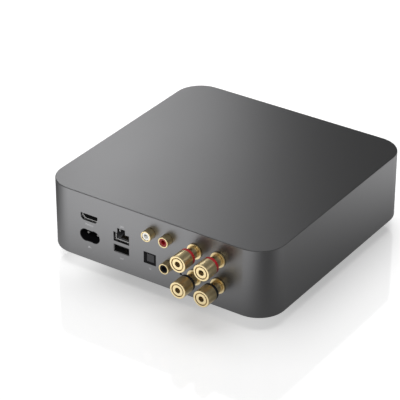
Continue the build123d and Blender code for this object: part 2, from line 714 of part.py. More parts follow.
# Screws of the four boards
with BuildPart() as board_screws:
    with Locations(*[(x, y, BOARD_TOP) for x, y in STANDOFFS]):
        add(screw())
    with Locations(*[(x, REAR_BOARD_BACK, z) for x, z in REAR_BOSSES]):
        add(screw(), rotation=(90, 0, 0))
    with Locations(*[(x, FRONT_BOARD_BACK, z) for x, z in FRONT_BOSSES]):
        add(screw(), rotation=(-90, 0, 0))
board_screws.part.label = "board_screws"
export_step(board_screws.part, "parts/board_screws.step")

# Mains inlet: a moulded block on the supply board whose nose fills the opening in the panel
with BuildPart() as inlet:
    with BuildSketch(upright(PANEL)):
        with Locations((INLET_X, INLET_Z)):
            Rectangle(INLET_BLOCK_WIDTH, INLET_BLOCK_HEIGHT)
    extrude(amount=INLET_BLOCK_DEPTH)
    with BuildSketch(upright(REAR - MOUTH_RECESS)):
        with Locations((INLET_X, INLET_Z)):
            add(inlet_outline(0))
    extrude(amount=WALL - MOUTH_RECESS)
    with BuildSketch(upright(REAR - MOUTH_RECESS)):
        with Locations((INLET_X, INLET_Z)):
            add(inlet_outline(-INLET_RIM))
    extrude(amount=INLET_RECESS, mode=Mode.SUBTRACT)
    with BuildSketch(upright(PANEL)):
        with Locations((INLET_X, INLET_Z)):
            with GridLocations(INLET_PIN_PITCH, 1, 2, 1):
                Circle(INLET_PIN_RADIUS + RUNNING_GAP)
    extrude(amount=INLET_BLOCK_DEPTH, mode=Mode.SUBTRACT)
inlet.part.label = "mains_inlet_body"
export_step(inlet.part, "parts/mains_inlet_body.step")

# The two pins of the mains inlet
INLET_PIN_FRONT = REAR - MOUTH_RECESS - INLET_PIN_SETBACK
INLET_PIN_LENGTH = INLET_PIN_FRONT - (PANEL - INLET_BLOCK_DEPTH)
with BuildPart() as inlet_pins:
    with BuildSketch(upright(INLET_PIN_FRONT)):
        with Locations((INLET_X, INLET_Z)):
            with GridLocations(INLET_PIN_PITCH, 1, 2, 1):
                Circle(INLET_PIN_RADIUS)
    extrude(amount=INLET_PIN_LENGTH)
    fillet(inlet_pins.edges().group_by(Axis.Y)[-1], INLET_PIN_RADIUS / 2)
inlet_pins.part.label = "mains_inlet_pins"
export_step(inlet_pins.part, "parts/mains_inlet_pins.step")

# Video socket: a formed metal shell set well back in its opening, with a thin contact tongue
VIDEO_FRONT = REAR - VIDEO_SETBACK
VIDEO_LENGTH = VIDEO_FRONT - REAR_BOARD_FACE
with BuildPart() as video_shell:
    with BuildSketch(upright(VIDEO_FRONT)):
        with Locations((VIDEO_X, VIDEO_Z)):
            add(video_outline(0))
    extrude(amount=VIDEO_LENGTH)
    with BuildSketch(upright(VIDEO_FRONT)):
        with Locations((VIDEO_X, VIDEO_Z)):
            add(video_outline(-SHELL_SHEET))
    extrude(amount=VIDEO_LENGTH - SOCKET_BACK, mode=Mode.SUBTRACT)
video_shell.part.label = "video_socket_shell"
export_step(video_shell.part, "parts/video_socket_shell.step")

with BuildPart() as video_tongue:
    with BuildSketch(upright(VIDEO_FRONT - TONGUE_SETBACK)):
        with Locations((VIDEO_X, VIDEO_Z + VIDEO_TONGUE_RISE)):
            Rectangle(VIDEO_TONGUE_WIDTH, VIDEO_TONGUE_THICKNESS)
    extrude(amount=VIDEO_LENGTH - SOCKET_BACK - TONGUE_SETBACK)
    chamfer(video_tongue.faces().sort_by(Axis.Y)[-1].edges(), VIDEO_TONGUE_THICKNESS / 5)
video_tongue.part.label = "video_socket_tongue"
export_step(video_tongue.part, "parts/video_socket_tongue.step")

# Data socket: a folded metal shell with a thicker tongue near its top
SOCKET_LENGTH = WALL + SOCKET_DEPTH - MOUTH_RECESS
TONGUE_LENGTH = SOCKET_LENGTH - SOCKET_BACK - TONGUE_SETBACK
with BuildPart() as data_shell:
    with BuildSketch(upright(REAR - MOUTH_RECESS)):
        with Locations((DATA_X, DATA_Z)):
            RectangleRounded(DATA_WIDTH, DATA_HEIGHT, DATA_CORNER)
    extrude(amount=SOCKET_LENGTH)
    with BuildSketch(upright(REAR - MOUTH_RECESS)):
        with Locations((DATA_X, DATA_Z)):
            Rectangle(DATA_WIDTH - 2 * SHELL_SHEET, DATA_HEIGHT - 2 * SHELL_SHEET)
    extrude(amount=SOCKET_LENGTH - SOCKET_BACK, mode=Mode.SUBTRACT)
data_shell.part.label = "data_socket_shell"
export_step(data_shell.part, "parts/data_socket_shell.step")

with BuildPart() as data_tongue:
    with BuildSketch(upright(REAR - MOUTH_RECESS - TONGUE_SETBACK)):
        with Locations((DATA_X, DATA_Z + DATA_TONGUE_RISE)):
            Rectangle(DATA_TONGUE_WIDTH, DATA_TONGUE_THICKNESS)
    extrude(amount=TONGUE_LENGTH)
    chamfer(data_tongue.faces().sort_by(Axis.Y)[-1].edges(), DATA_TONGUE_THICKNESS / 5)
data_tongue.part.label = "data_socket_tongue"
export_step(data_tongue.part, "parts/data_socket_tongue.step")

# Network socket: a shield round a plastic housing, whose lip shows inside the panel's opening
NETWORK_BLOCK_WIDTH = NETWORK_WIDTH + 2 * NETWORK_JACKET
NETWORK_BLOCK_BOTTOM = NETWORK_Z - NETWORK_HEIGHT / 2 - NETWORK_JACKET
NETWORK_BLOCK_HEIGHT = NETWORK_HEIGHT + LATCH_HEIGHT + 2 * NETWORK_JACKET
NETWORK_MIDDLE = NETWORK_BLOCK_BOTTOM + NETWORK_BLOCK_HEIGHT / 2
HOUSING_FRONT = PANEL - NETWORK_SHEET - RUNNING_GAP
with BuildPart() as network_shield:
    with BuildSketch(upright(PANEL)):
        with Locations((NETWORK_X, NETWORK_MIDDLE)):
            Rectangle(
                NETWORK_BLOCK_WIDTH + 2 * (NETWORK_SHEET + RUNNING_GAP),
                NETWORK_BLOCK_HEIGHT + 2 * (NETWORK_SHEET + RUNNING_GAP),
            )
    extrude(amount=SOCKET_DEPTH)
    with BuildSketch(upright(PANEL - NETWORK_SHEET)):
        with Locations((NETWORK_X, NETWORK_MIDDLE)):
            Rectangle(
                NETWORK_BLOCK_WIDTH + 2 * RUNNING_GAP,
                NETWORK_BLOCK_HEIGHT + 2 * RUNNING_GAP,
            )
    extrude(amount=SOCKET_DEPTH, mode=Mode.SUBTRACT)
    with BuildSketch(upright(PANEL)):
        with Locations((NETWORK_X, NETWORK_Z)):
            add(network_outline(-NETWORK_LIP))
    extrude(amount=NETWORK_SHEET, mode=Mode.SUBTRACT)
network_shield.part.label = "network_socket_shield"
export_step(network_shield.part, "parts/network_socket_shield.step")

with BuildPart() as network_housing:
    with BuildSketch(upright(HOUSING_FRONT)):
        with Locations((NETWORK_X, NETWORK_MIDDLE)):
            Rectangle(NETWORK_BLOCK_WIDTH, NETWORK_BLOCK_HEIGHT)
    extrude(amount=HOUSING_FRONT - REAR_BOARD_FACE)
    with BuildSketch(upright(HOUSING_FRONT)):
        with Locations((NETWORK_X, NETWORK_Z)):
            add(network_outline(-NETWORK_LIP))
    extrude(amount=HOUSING_FRONT - REAR_BOARD_FACE - SOCKET_BACK, mode=Mode.SUBTRACT)
network_housing.part.label = "network_socket_housing"
export_step(network_housing.part, "parts/network_socket_housing.step")

# Spring wires of the network socket: each leans up and back from the cavity's floor
CONTACT_FLOOR = NETWORK_Z - NETWORK_HEIGHT / 2 + NETWORK_LIP
CONTACT_BACK = REAR_BOARD_FACE + SOCKET_BACK
CONTACT_FRONT = HOUSING_FRONT - TONGUE_SETBACK
with BuildPart() as network_contacts:
    for place in range(CONTACT_COUNT):
        contact_x = NETWORK_X + CONTACT_PITCH * (place - (CONTACT_COUNT - 1) / 2)
        with BuildSketch(Plane.YZ.offset(contact_x)):
            with BuildLine():
                Polyline(
                    (CONTACT_FRONT, CONTACT_FLOOR),
                    (CONTACT_FRONT, CONTACT_FLOOR + CONTACT_WIDTH),
                    (CONTACT_BACK, CONTACT_FLOOR + CONTACT_LEAN + CONTACT_WIDTH),
                    (CONTACT_BACK, CONTACT_FLOOR + CONTACT_LEAN),
                    close=True,
                )
            make_face()
        extrude(amount=CONTACT_WIDTH / 2, both=True)
network_contacts.part.label = "network_socket_contacts"
export_step(network_contacts.part, "parts/network_socket_contacts.step")

# Optical socket: a square tube closed at the back, with ears for the shutter's pins near its mouth
OPTICAL_FRONT = REAR - MOUTH_RECESS
SHUTTER_AXIS_Y = OPTICAL_FRONT - SHUTTER_SETBACK - SHUTTER_KNUCKLE
SHUTTER_AXIS_Z = OPTICAL_Z + OPTICAL_MOUTH / 2 + SHUTTER_POCKET - SHUTTER_KNUCKLE - SHUTTER_GAP
OPTICAL_LENGTH = OPTICAL_FRONT - REAR_BOARD_FACE
with BuildPart() as optical_body:
    with BuildSketch(upright(OPTICAL_FRONT)):
        with Locations((OPTICAL_X, OPTICAL_Z)):
            Rectangle(OPTICAL_WIDTH, OPTICAL_HEIGHT)
            Rectangle(OPTICAL_MOUTH, OPTICAL_MOUTH, mode=Mode.SUBTRACT)
    extrude(amount=OPTICAL_LENGTH - SOCKET_BACK)
    with BuildSketch(upright(REAR_BOARD_FACE + SOCKET_BACK)):
        with Locations((OPTICAL_X, OPTICAL_Z)):
            Rectangle(OPTICAL_WIDTH, OPTICAL_HEIGHT)
    extrude(amount=SOCKET_BACK)
    # Pocket in the roof of the tube, which the open shutter folds up into
    with BuildSketch(upright(OPTICAL_FRONT - SHUTTER_LIP)):
        with Locations((OPTICAL_X, OPTICAL_Z + OPTICAL_MOUTH / 2)):
            Rectangle(OPTICAL_MOUTH, SHUTTER_POCKET, align=(Align.CENTER, Align.MIN))
    extrude(amount=OPTICAL_MOUTH + SHUTTER_KNUCKLE + SHUTTER_SETBACK, mode=Mode.SUBTRACT)
    with BuildSketch(Plane.YZ.offset(OPTICAL_X)):
        with Locations((SHUTTER_AXIS_Y, SHUTTER_AXIS_Z)):
            Circle(SHUTTER_PIN + RUNNING_GAP)
    extrude(
        amount=OPTICAL_MOUTH / 2 + SHUTTER_PIN_LENGTH + SHUTTER_GAP,
        both=True,
        mode=Mode.SUBTRACT,
    )
optical_body.part.label = "optical_socket_body"
export_step(optical_body.part, "parts/optical_socket_body.step")

# Shutter: a plate hung from a knuckle along its top edge, with a stub pin at each end
SHUTTER_WIDTH = OPTICAL_MOUTH - 2 * SHUTTER_GAP
SHUTTER_BOTTOM = OPTICAL_Z - OPTICAL_MOUTH / 2 + SHUTTER_GAP
with BuildPart() as shutter:
    with BuildSketch(Plane.YZ.offset(OPTICAL_X)):
        with Locations((SHUTTER_AXIS_Y, SHUTTER_AXIS_Z)):
            Circle(SHUTTER_KNUCKLE)
        with Locations((SHUTTER_AXIS_Y + SHUTTER_KNUCKLE, SHUTTER_BOTTOM)):
            Rectangle(
                SHUTTER_THICKNESS,
                SHUTTER_AXIS_Z - SHUTTER_BOTTOM,
                align=(Align.MAX, Align.MIN),
            )
    extrude(amount=SHUTTER_WIDTH / 2, both=True)
    with BuildSketch(Plane.YZ.offset(OPTICAL_X)):
        with Locations((SHUTTER_AXIS_Y, SHUTTER_AXIS_Z)):
            Circle(SHUTTER_PIN)
    extrude(amount=SHUTTER_WIDTH / 2 + SHUTTER_PIN_LENGTH, both=True)
shutter.part.label = "optical_shutter"
export_step(shutter.part, "parts/optical_shutter.step")

# Phono sockets: plated barrels, a coloured core in each line input, and the moulded blocks behind
INSULATOR_RADIUS = BARREL_RADIUS - BARREL_WALL - RUNNING_GAP
INSULATOR_FRONT = REAR + BARREL_REACH - INSULATOR_SETBACK
with BuildPart() as barrels:
    with BuildSketch(upright(REAR + BARREL_REACH)):
        with Locations(*PHONO_PLACES):
            Circle(BARREL_RADIUS)
            Circle(BARREL_RADIUS - BARREL_WALL, mode=Mode.SUBTRACT)
    extrude(amount=BARREL_REACH + WALL)
    chamfer(barrels.edges().filter_by(GeomType.CIRCLE).group_by(Axis.Y)[-1], BARREL_WALL / 4)
barrels.part.label = "phono_barrels"
export_step(barrels.part, "parts/phono_barrels.step")

for side, place_x in (("left", LINE_LEFT_X), ("right", LINE_RIGHT_X)):
    with BuildPart() as insulator:
        with BuildSketch(upright(INSULATOR_FRONT)):
            with Locations((place_x, LINE_Z)):
                Circle(INSULATOR_RADIUS)
        extrude(amount=INSULATOR_FRONT - PANEL)
        with BuildSketch(upright(INSULATOR_FRONT)):
            with Locations((place_x, LINE_Z)):
                Circle(PHONO_BORE_RADIUS)
        extrude(amount=INSULATOR_FRONT - PANEL, mode=Mode.SUBTRACT)
    insulator.part.label = f"line_{side}_insulator"
    export_step(insulator.part, f"parts/line_{side}_insulator.step")

with BuildPart() as phono_blocks:
    with BuildSketch(upright(PANEL)):
        with Locations(((LINE_LEFT_X + LINE_RIGHT_X) / 2, LINE_Z)):
            Rectangle(LINE_LEFT_X - LINE_RIGHT_X + PHONO_BLOCK_HEIGHT, PHONO_BLOCK_HEIGHT)
        with Locations((SUB_X, SUB_Z)):
            Rectangle(PHONO_BLOCK_HEIGHT, PHONO_BLOCK_HEIGHT)
    extrude(amount=SOCKET_DEPTH)
    with BuildSketch(upright(INSULATOR_FRONT)):
        with Locations((SUB_X, SUB_Z)):
            Circle(INSULATOR_RADIUS)
    extrude(amount=INSULATOR_FRONT - PANEL)
    with BuildSketch(upright(INSULATOR_FRONT)):
        with Locations(*PHONO_PLACES):
            Circle(PHONO_BORE_RADIUS)
    extrude(amount=PHONO_BORE_DEPTH, mode=Mode.SUBTRACT)
phono_blocks.part.label = "phono_socket_blocks"
export_step(phono_blocks.part, "parts/phono_socket_blocks.step")

# Reset switch on the rear board, and the button that a pin pushes through the panel's pinhole
RESET_BORE_DEPTH = RESET_BODY_DEPTH - RESET_BODY_BACK
RESET_STEM_BACK = REAR_BOARD_FACE + RESET_BODY_DEPTH - RESET_BORE_DEPTH + RESET_TRAVEL + SEAT_GAP
RESET_STEM_FRONT = PANEL - RESET_TRAVEL
with BuildPart() as reset_switch:
    with BuildSketch(upright(REAR_BOARD_FACE + RESET_BODY_DEPTH)):
        with Locations((RESET_X, RESET_Z)):
            Rectangle(RESET_BODY_SIZE, RESET_BODY_SIZE)
    extrude(amount=RESET_BODY_DEPTH)
    with BuildSketch(upright(REAR_BOARD_FACE + RESET_BODY_DEPTH)):
        with Locations((RESET_X, RESET_Z)):
            Circle(RESET_STEM_RADIUS + RUNNING_GAP)
    extrude(amount=RESET_BORE_DEPTH, mode=Mode.SUBTRACT)
reset_switch.part.label = "reset_switch"
export_step(reset_switch.part, "parts/reset_switch.step")

with BuildPart() as reset_button:
    with BuildSketch(upright(RESET_STEM_FRONT)):
        with Locations((RESET_X, RESET_Z)):
            Circle(RESET_STEM_RADIUS)
    extrude(amount=RESET_STEM_FRONT - RESET_STEM_BACK)
reset_button.part.label = "reset_button"
export_step(reset_button.part, "parts/reset_button.step")

# Speaker posts, from the panel outwards: washer, flange, bare neck, coloured collar and cap
WASHER_FACE = REAR + POST_WASHER
FLANGE_FACE = WASHER_FACE + FLANGE_THICKNESS
POST_FACE = REAR + POST_REACH
CAP_BACK = POST_FACE - CAP_LENGTH
SLEEVE_BORE = STUD_RADIUS + RUNNING_GAP
NUT_RADIUS = NUT_ACROSS_FLATS / 2
PANEL_NUT_FACE = PANEL - INNER_WASHER
with BuildPart() as studs:
    with BuildSketch(upright(POST_FACE)):
        with Locations(*POSTS.values()):
            Circle(STUD_RADIUS)
    extrude(amount=POST_REACH - POST_WASHER)
    with BuildSketch(upright(FLANGE_FACE)):
        with Locations(*POSTS.values()):
            Circle(FLANGE_RADIUS)
    extrude(amount=FLANGE_THICKNESS)
    with BuildSketch(upright(WASHER_FACE)):
        with Locations(*POSTS.values()):
            Circle(SHANK_RADIUS)
    extrude(amount=WASHER_FACE - SHANK_END)
    with BuildSketch(upright(POST_FACE)):
        with Locations(*POSTS.values()):
            Circle(BANANA_RADIUS)
    extrude(amount=BANANA_DEPTH, mode=Mode.SUBTRACT)
    # Hole across the neck for a bare wire
    for stud_x, stud_z in POSTS.values():
        with BuildSketch(Plane.XY.offset(stud_z)):
            with Locations((stud_x, POST_FACE - WIRE_HOLE_SETBACK)):
                Circle(WIRE_HOLE_RADIUS)
        extrude(amount=STUD_RADIUS, both=True, mode=Mode.SUBTRACT)
    chamfer(studs.edges().filter_by(GeomType.CIRCLE).group_by(Axis.Y)[-1], CAP_EDGE / 2)
studs.part.label = "post_studs"
export_step(studs.part, "parts/post_studs.step")

for post_name, (post_x, post_z) in POSTS.items():
    with BuildPart() as collar:
        with BuildSketch(upright(CAP_BACK - RUNNING_GAP)):
            with Locations((post_x, post_z)):
                Circle(CAP_RADIUS)
                Circle(SLEEVE_BORE, mode=Mode.SUBTRACT)
        extrude(amount=COLLAR_LENGTH - RUNNING_GAP)
    collar.part.label = f"post_collar_{post_name}"
    export_step(collar.part, f"parts/post_collar_{post_name}.step")

    with BuildPart() as cap:
        with BuildSketch(upright(POST_FACE)):
            with Locations((post_x, post_z)):
                Circle(CAP_RADIUS)
        extrude(amount=CAP_LENGTH)
        fillet(cap.faces().sort_by(Axis.Y)[-1].edges(), CAP_EDGE)
        with BuildSketch(upright(POST_FACE)):
            with Locations((post_x, post_z)):
                Circle(CAP_GROOVE_RADIUS)
        extrude(amount=CAP_GROOVE_DEPTH, mode=Mode.SUBTRACT)
        with BuildSketch(upright(POST_FACE)):
            with Locations((post_x, post_z)):
                Circle(SLEEVE_BORE)
        extrude(amount=CAP_LENGTH, mode=Mode.SUBTRACT)
    cap.part.label = f"post_cap_{post_name}"
    export_step(cap.part, f"parts/post_cap_{post_name}.step")

# Insulating washers: outside with a bush through the panel, and plain ones inside
with BuildPart() as washers:
    with BuildSketch(upright(WASHER_FACE)):
        with Locations(*POSTS.values()):
            Circle(POST_WASHER_RADIUS)
    extrude(amount=POST_WASHER)
    with BuildSketch(upright(REAR)):
        with Locations(*POSTS.values()):
            Circle(BUSH_RADIUS)
    extrude(amount=WALL - SEAT_GAP)
    with BuildSketch(upright(PANEL)):
        with Locations(*POSTS.values()):
            Circle(CAP_RADIUS)
    extrude(amount=INNER_WASHER)
    with BuildSketch(upright(WASHER_FACE)):
        with Locations(*POSTS.values()):
            Circle(SHANK_RADIUS + RUNNING_GAP)
    extrude(amount=POST_WASHER + WALL + INNER_WASHER, mode=Mode.SUBTRACT)
washers.part.label = "post_washers"
export_step(washers.part, "parts/post_washers.step")

# Nuts of the posts: one behind the panel and one behind the rear board on each stud
with BuildPart() as post_nuts:
    for nut_face in (PANEL_NUT_FACE, REAR_BOARD_BACK):
        with BuildSketch(upright(nut_face)):
            with Locations(*POSTS.values()):
                RegularPolygon(NUT_RADIUS, 6, major_radius=False)
                Circle(SHANK_RADIUS + RUNNING_GAP, mode=Mode.SUBTRACT)
        extrude(amount=NUT_HEIGHT)
post_nuts.part.label = "post_nuts"
export_step(post_nuts.part, "parts/post_nuts.step")

# Rotary encoder: its case stands on the front board and its threaded bushing passes the front wall
ENCODER_FACE = FRONT_INSIDE + (FRONT_BOARD_GAP - ENCODER_BACK - ENCODER_CAVITY_DEPTH) / 2
BUSHING_END = FRONT - BUSHING_PROUD
CAVITY_FRONT = FRONT_BOARD_FACE - ENCODER_BACK - ENCODER_CAVITY_DEPTH
CAVITY_BACK = FRONT_BOARD_FACE - ENCODER_BACK
with BuildPart() as encoder:
    with BuildSketch(upright(FRONT_BOARD_FACE)):
        with Locations((KNOB_X, KNOB_Z)):
            Rectangle(ENCODER_SIZE, ENCODER_SIZE)
    extrude(amount=FRONT_BOARD_FACE - ENCODER_FACE)
    with BuildSketch(upright(ENCODER_FACE)):
        with Locations((KNOB_X, KNOB_Z)):
            Circle(BUSHING_RADIUS)
    extrude(amount=ENCODER_FACE - BUSHING_END)
    with BuildSketch(upright(CAVITY_BACK)):
        with Locations((KNOB_X, KNOB_Z)):
            Circle(ENCODER_CAVITY_RADIUS)
    extrude(amount=ENCODER_CAVITY_DEPTH, mode=Mode.SUBTRACT)
    with BuildSketch(upright(CAVITY_FRONT)):
        with Locations((KNOB_X, KNOB_Z)):
            Circle(SHAFT_RADIUS + RUNNING_GAP)
    extrude(amount=CAVITY_FRONT - BUSHING_END, mode=Mode.SUBTRACT)
encoder.part.label = "encoder_body"
export_step(encoder.part, "parts/encoder_body.step")

with BuildPart() as encoder_nut:
    with BuildSketch(upright(FRONT)):
        with Locations((KNOB_X, KNOB_Z)):
            RegularPolygon(ENCODER_NUT_FLATS / 2, 6, major_radius=False)
            Circle(BUSHING_RADIUS + RUNNING_GAP, mode=Mode.SUBTRACT)
    extrude(amount=ENCODER_NUT_HEIGHT)
encoder_nut.part.label = "encoder_nut"
export_step(encoder_nut.part, "parts/encoder_nut.step")

# Push plunger: slides back in the encoder when the knob is pressed, and doesn't turn
SHAFT_BACK = CAVITY_FRONT + SHAFT_DISC_THICKNESS + RUNNING_GAP
with BuildPart() as plunger:
    with BuildSketch(upright(SHAFT_BACK + RUNNING_GAP + PLUNGER_THICKNESS)):
        with Locations((KNOB_X, KNOB_Z)):
            Circle(ENCODER_CAVITY_RADIUS - RUNNING_GAP)
    extrude(amount=PLUNGER_THICKNESS)
plunger.part.label = "encoder_plunger"
export_step(plunger.part, "parts/encoder_plunger.step")

# Shaft with the disc that keeps it in the encoder
KNOB_BACK = FRONT - KNOB_STANDOFF - BUSHING_PROUD + ENCODER_NUT_HEIGHT
SHAFT_FRONT = KNOB_BACK - KNOB_SOCKET_DEPTH
with BuildPart() as shaft:
    with BuildSketch(upright(SHAFT_BACK)):
        with Locations((KNOB_X, KNOB_Z)):
            Circle(ENCODER_CAVITY_RADIUS - RUNNING_GAP)
    extrude(amount=SHAFT_DISC_THICKNESS)
    with BuildSketch(upright(SHAFT_BACK)):
        with Locations((KNOB_X, KNOB_Z)):
            Circle(SHAFT_RADIUS)
    extrude(amount=SHAFT_BACK - SHAFT_FRONT)
shaft.part.label = "encoder_shaft"
export_step(shaft.part, "parts/encoder_shaft.step")

# Volume knob, hollowed behind to clear the nut
with BuildPart() as knob:
    with BuildSketch(upright(KNOB_BACK)):
        with Locations((KNOB_X, KNOB_Z)):
            Circle(KNOB_RADIUS)
    extrude(amount=KNOB_LENGTH)
    fillet(knob.faces().sort_by(Axis.Y)[0].edges(), KNOB_EDGE)
    with BuildSketch(upright(KNOB_BACK)):
        with Locations((KNOB_X, KNOB_Z)):
            Circle(KNOB_RECESS_RADIUS)
    extrude(amount=KNOB_RECESS_DEPTH, mode=Mode.SUBTRACT)
    with BuildSketch(upright(KNOB_BACK)):
        with Locations((KNOB_X, KNOB_Z)):
            Circle(SHAFT_RADIUS + RUNNING_GAP)
    extrude(amount=KNOB_SOCKET_DEPTH + RUNNING_GAP, mode=Mode.SUBTRACT)
knob.part.label = "volume_knob"
export_step(knob.part, "parts/volume_knob.step")

# Light pipe of the status lamp
with BuildPart() as light_pipe:
    with BuildSketch(upright(FRONT_BOARD_FACE)):
        with Locations((LIGHT_PIPE_X, KNOB_Z)):
            Circle(LIGHT_PIPE_RADIUS)
    extrude(amount=FRONT_BOARD_FACE - FRONT)
    with BuildSketch(upright(FRONT_INSIDE + LIGHT_PIPE_FLANGE_THICKNESS)):
        with Locations((LIGHT_PIPE_X, KNOB_Z)):
            Circle(LIGHT_PIPE_FLANGE)
    extrude(amount=LIGHT_PIPE_FLANGE_THICKNESS)
light_pipe.part.label = "light_pipe"
export_step(light_pipe.part, "parts/light_pipe.step")

# Amplifier chip, its thermal pad and the finned heatsink that stands on both
with BuildPart() as chip:
    with BuildSketch(Plane.XY.offset(BOARD_TOP)):
        with Locations((CHIP_X, CHIP_Y)):
            Rectangle(CHIP_WIDTH, CHIP_DEPTH)
    extrude(amount=CHIP_HEIGHT)
chip.part.label = "amplifier_chip"
export_step(chip.part, "parts/amplifier_chip.step")

with BuildPart() as pad:
    with BuildSketch(Plane.XY.offset(BOARD_TOP + CHIP_HEIGHT)):
        with Locations((CHIP_X, CHIP_Y)):
            Rectangle(CHIP_WIDTH, CHIP_DEPTH)
    extrude(amount=PAD_THICKNESS)
pad.part.label = "thermal_pad"
export_step(pad.part, "parts/thermal_pad.step")

SINK_BOTTOM = BOARD_TOP + CHIP_HEIGHT + PAD_THICKNESS
FIN_PITCH = (SINK_WIDTH - FIN_THICKNESS) / (FIN_COUNT - 1)
with BuildPart() as sink:
    with BuildSketch(Plane.XY.offset(SINK_BOTTOM)):
        with Locations((CHIP_X, CHIP_Y)):
            Rectangle(SINK_WIDTH, SINK_DEPTH)
    extrude(amount=SINK_BASE)
    with BuildSketch(Plane.XY.offset(SINK_BOTTOM + SINK_BASE)):
        with Locations((CHIP_X, CHIP_Y)):
            with GridLocations(FIN_PITCH, 1, FIN_COUNT, 1):
                Rectangle(FIN_THICKNESS, SINK_DEPTH)
    extrude(amount=FIN_HEIGHT)
    with BuildSketch(Plane.XY.offset(BOARD_TOP)):
        with Locations((CHIP_X, CHIP_Y)):
            with GridLocations(
                SINK_WIDTH - 2 * SINK_LEG_RADIUS, SINK_DEPTH - 2 * SINK_LEG_RADIUS, 2, 2
            ):
                Circle(SINK_LEG_RADIUS)
    extrude(amount=CHIP_HEIGHT + PAD_THICKNESS)
sink.part.label = "amplifier_heatsink"
export_step(sink.part, "parts/amplifier_heatsink.step")

# Output inductors, a row of moulded blocks in front of the speaker posts
with BuildPart() as inductors:
    with BuildSketch(Plane.XY.offset(BOARD_TOP)):
        with Locations((MAIN_X, INDUCTOR_Y)):
            with GridLocations(INDUCTOR_PITCH, 1, INDUCTOR_COUNT, 1):
                RectangleRounded(INDUCTOR_SIZE, INDUCTOR_SIZE, INDUCTOR_SIZE / 8)
    extrude(amount=INDUCTOR_HEIGHT)
inductors.part.label = "output_inductors"
export_step(inductors.part, "parts/output_inductors.step")

# Electrolytic capacitors: one row on each level board
with BuildPart() as cans:
    with BuildSketch(Plane.XY.offset(BOARD_TOP)):
        with Locations((MAIN_X, MAIN_CANS_Y)):
            with GridLocations(CAN_PITCH, 1, CAN_COUNT, 1):
                Circle(CAN_RADIUS)
        with Locations((SUPPLY_X, SUPPLY_CANS_Y)):
            with GridLocations(CAN_PITCH, 1, CAN_COUNT, 1):
                Circle(CAN_RADIUS)
    extrude(amount=CAN_HEIGHT)
    fillet(cans.faces().group_by(Axis.Z)[-1].edges(), CAN_ROUND)
cans.part.label = "electrolytic_capacitors"
export_step(cans.part, "parts/electrolytic_capacitors.step")

# Processor, memory and converter chips
with BuildPart() as chips:
    with BuildSketch(Plane.XY.offset(BOARD_TOP)):
        with Locations((SHIELD_X - SHIELD_WIDTH / 5, SHIELD_Y)):
            Rectangle(PROCESSOR_SIZE, PROCESSOR_SIZE)
        with Locations((SHIELD_X + SHIELD_WIDTH / 4, SHIELD_Y)):
            Rectangle(MEMORY_WIDTH, PROCESSOR_SIZE)
        with Locations((CONVERTER_X, CONVERTER_Y)):
            Rectangle(CONVERTER_SIZE, CONVERTER_SIZE)
    extrude(amount=PROCESSOR_HEIGHT)
chips.part.label = "board_chips"
export_step(chips.part, "parts/board_chips.step")

# Tinned cover over the processor and its memory
with BuildPart() as shield:
    with BuildSketch(Plane.XY.offset(BOARD_TOP)):
        with Locations((SHIELD_X, SHIELD_Y)):
            Rectangle(SHIELD_WIDTH, SHIELD_DEPTH)
    extrude(amount=SHIELD_HEIGHT)
    with BuildSketch(Plane.XY.offset(BOARD_TOP)):
        with Locations((SHIELD_X, SHIELD_Y)):
            Rectangle(SHIELD_WIDTH - 2 * SHIELD_SHEET, SHIELD_DEPTH - 2 * SHIELD_SHEET)
    extrude(amount=SHIELD_HEIGHT - SHIELD_SHEET, mode=Mode.SUBTRACT)
shield.part.label = "processor_shield"
export_step(shield.part, "parts/processor_shield.step")

# Wireless module: a small board with a can on it
with BuildPart() as radio:
    with BuildSketch(Plane.XY.offset(BOARD_TOP)):
        with Locations((RADIO_X, RADIO_Y)):
            Rectangle(RADIO_WIDTH, RADIO_DEPTH)
    extrude(amount=RADIO_BOARD)
    with BuildSketch(Plane.XY.offset(BOARD_TOP + RADIO_BOARD)):
        with Locations((RADIO_X, RADIO_Y)):
            Rectangle(RADIO_WIDTH - 2 * RADIO_RIM, RADIO_DEPTH - 2 * RADIO_RIM)
    extrude(amount=RADIO_CAN)
radio.part.label = "wireless_module"
export_step(radio.part, "parts/wireless_module.step")

# Mains fuse: a ceramic tube that ends in wider caps, lying on the supply board
with BuildPart() as fuse:
    with BuildSketch(Plane.YZ.offset(FUSE_X)):
        with Locations((FUSE_Y, BOARD_TOP + FUSE_RADIUS)):
            Circle(FUSE_RADIUS - FUSE_GLASS_STEP)
    extrude(amount=FUSE_LENGTH / 2, both=True)
    for end in (-1, 1):
        with BuildSketch(Plane.YZ.offset(FUSE_X + end * FUSE_LENGTH / 2)):
            with Locations((FUSE_Y, BOARD_TOP + FUSE_RADIUS)):
                Circle(FUSE_RADIUS)
        extrude(amount=-end * FUSE_CAP_LENGTH)
fuse.part.label = "mains_fuse"
export_step(fuse.part, "parts/mains_fuse.step")

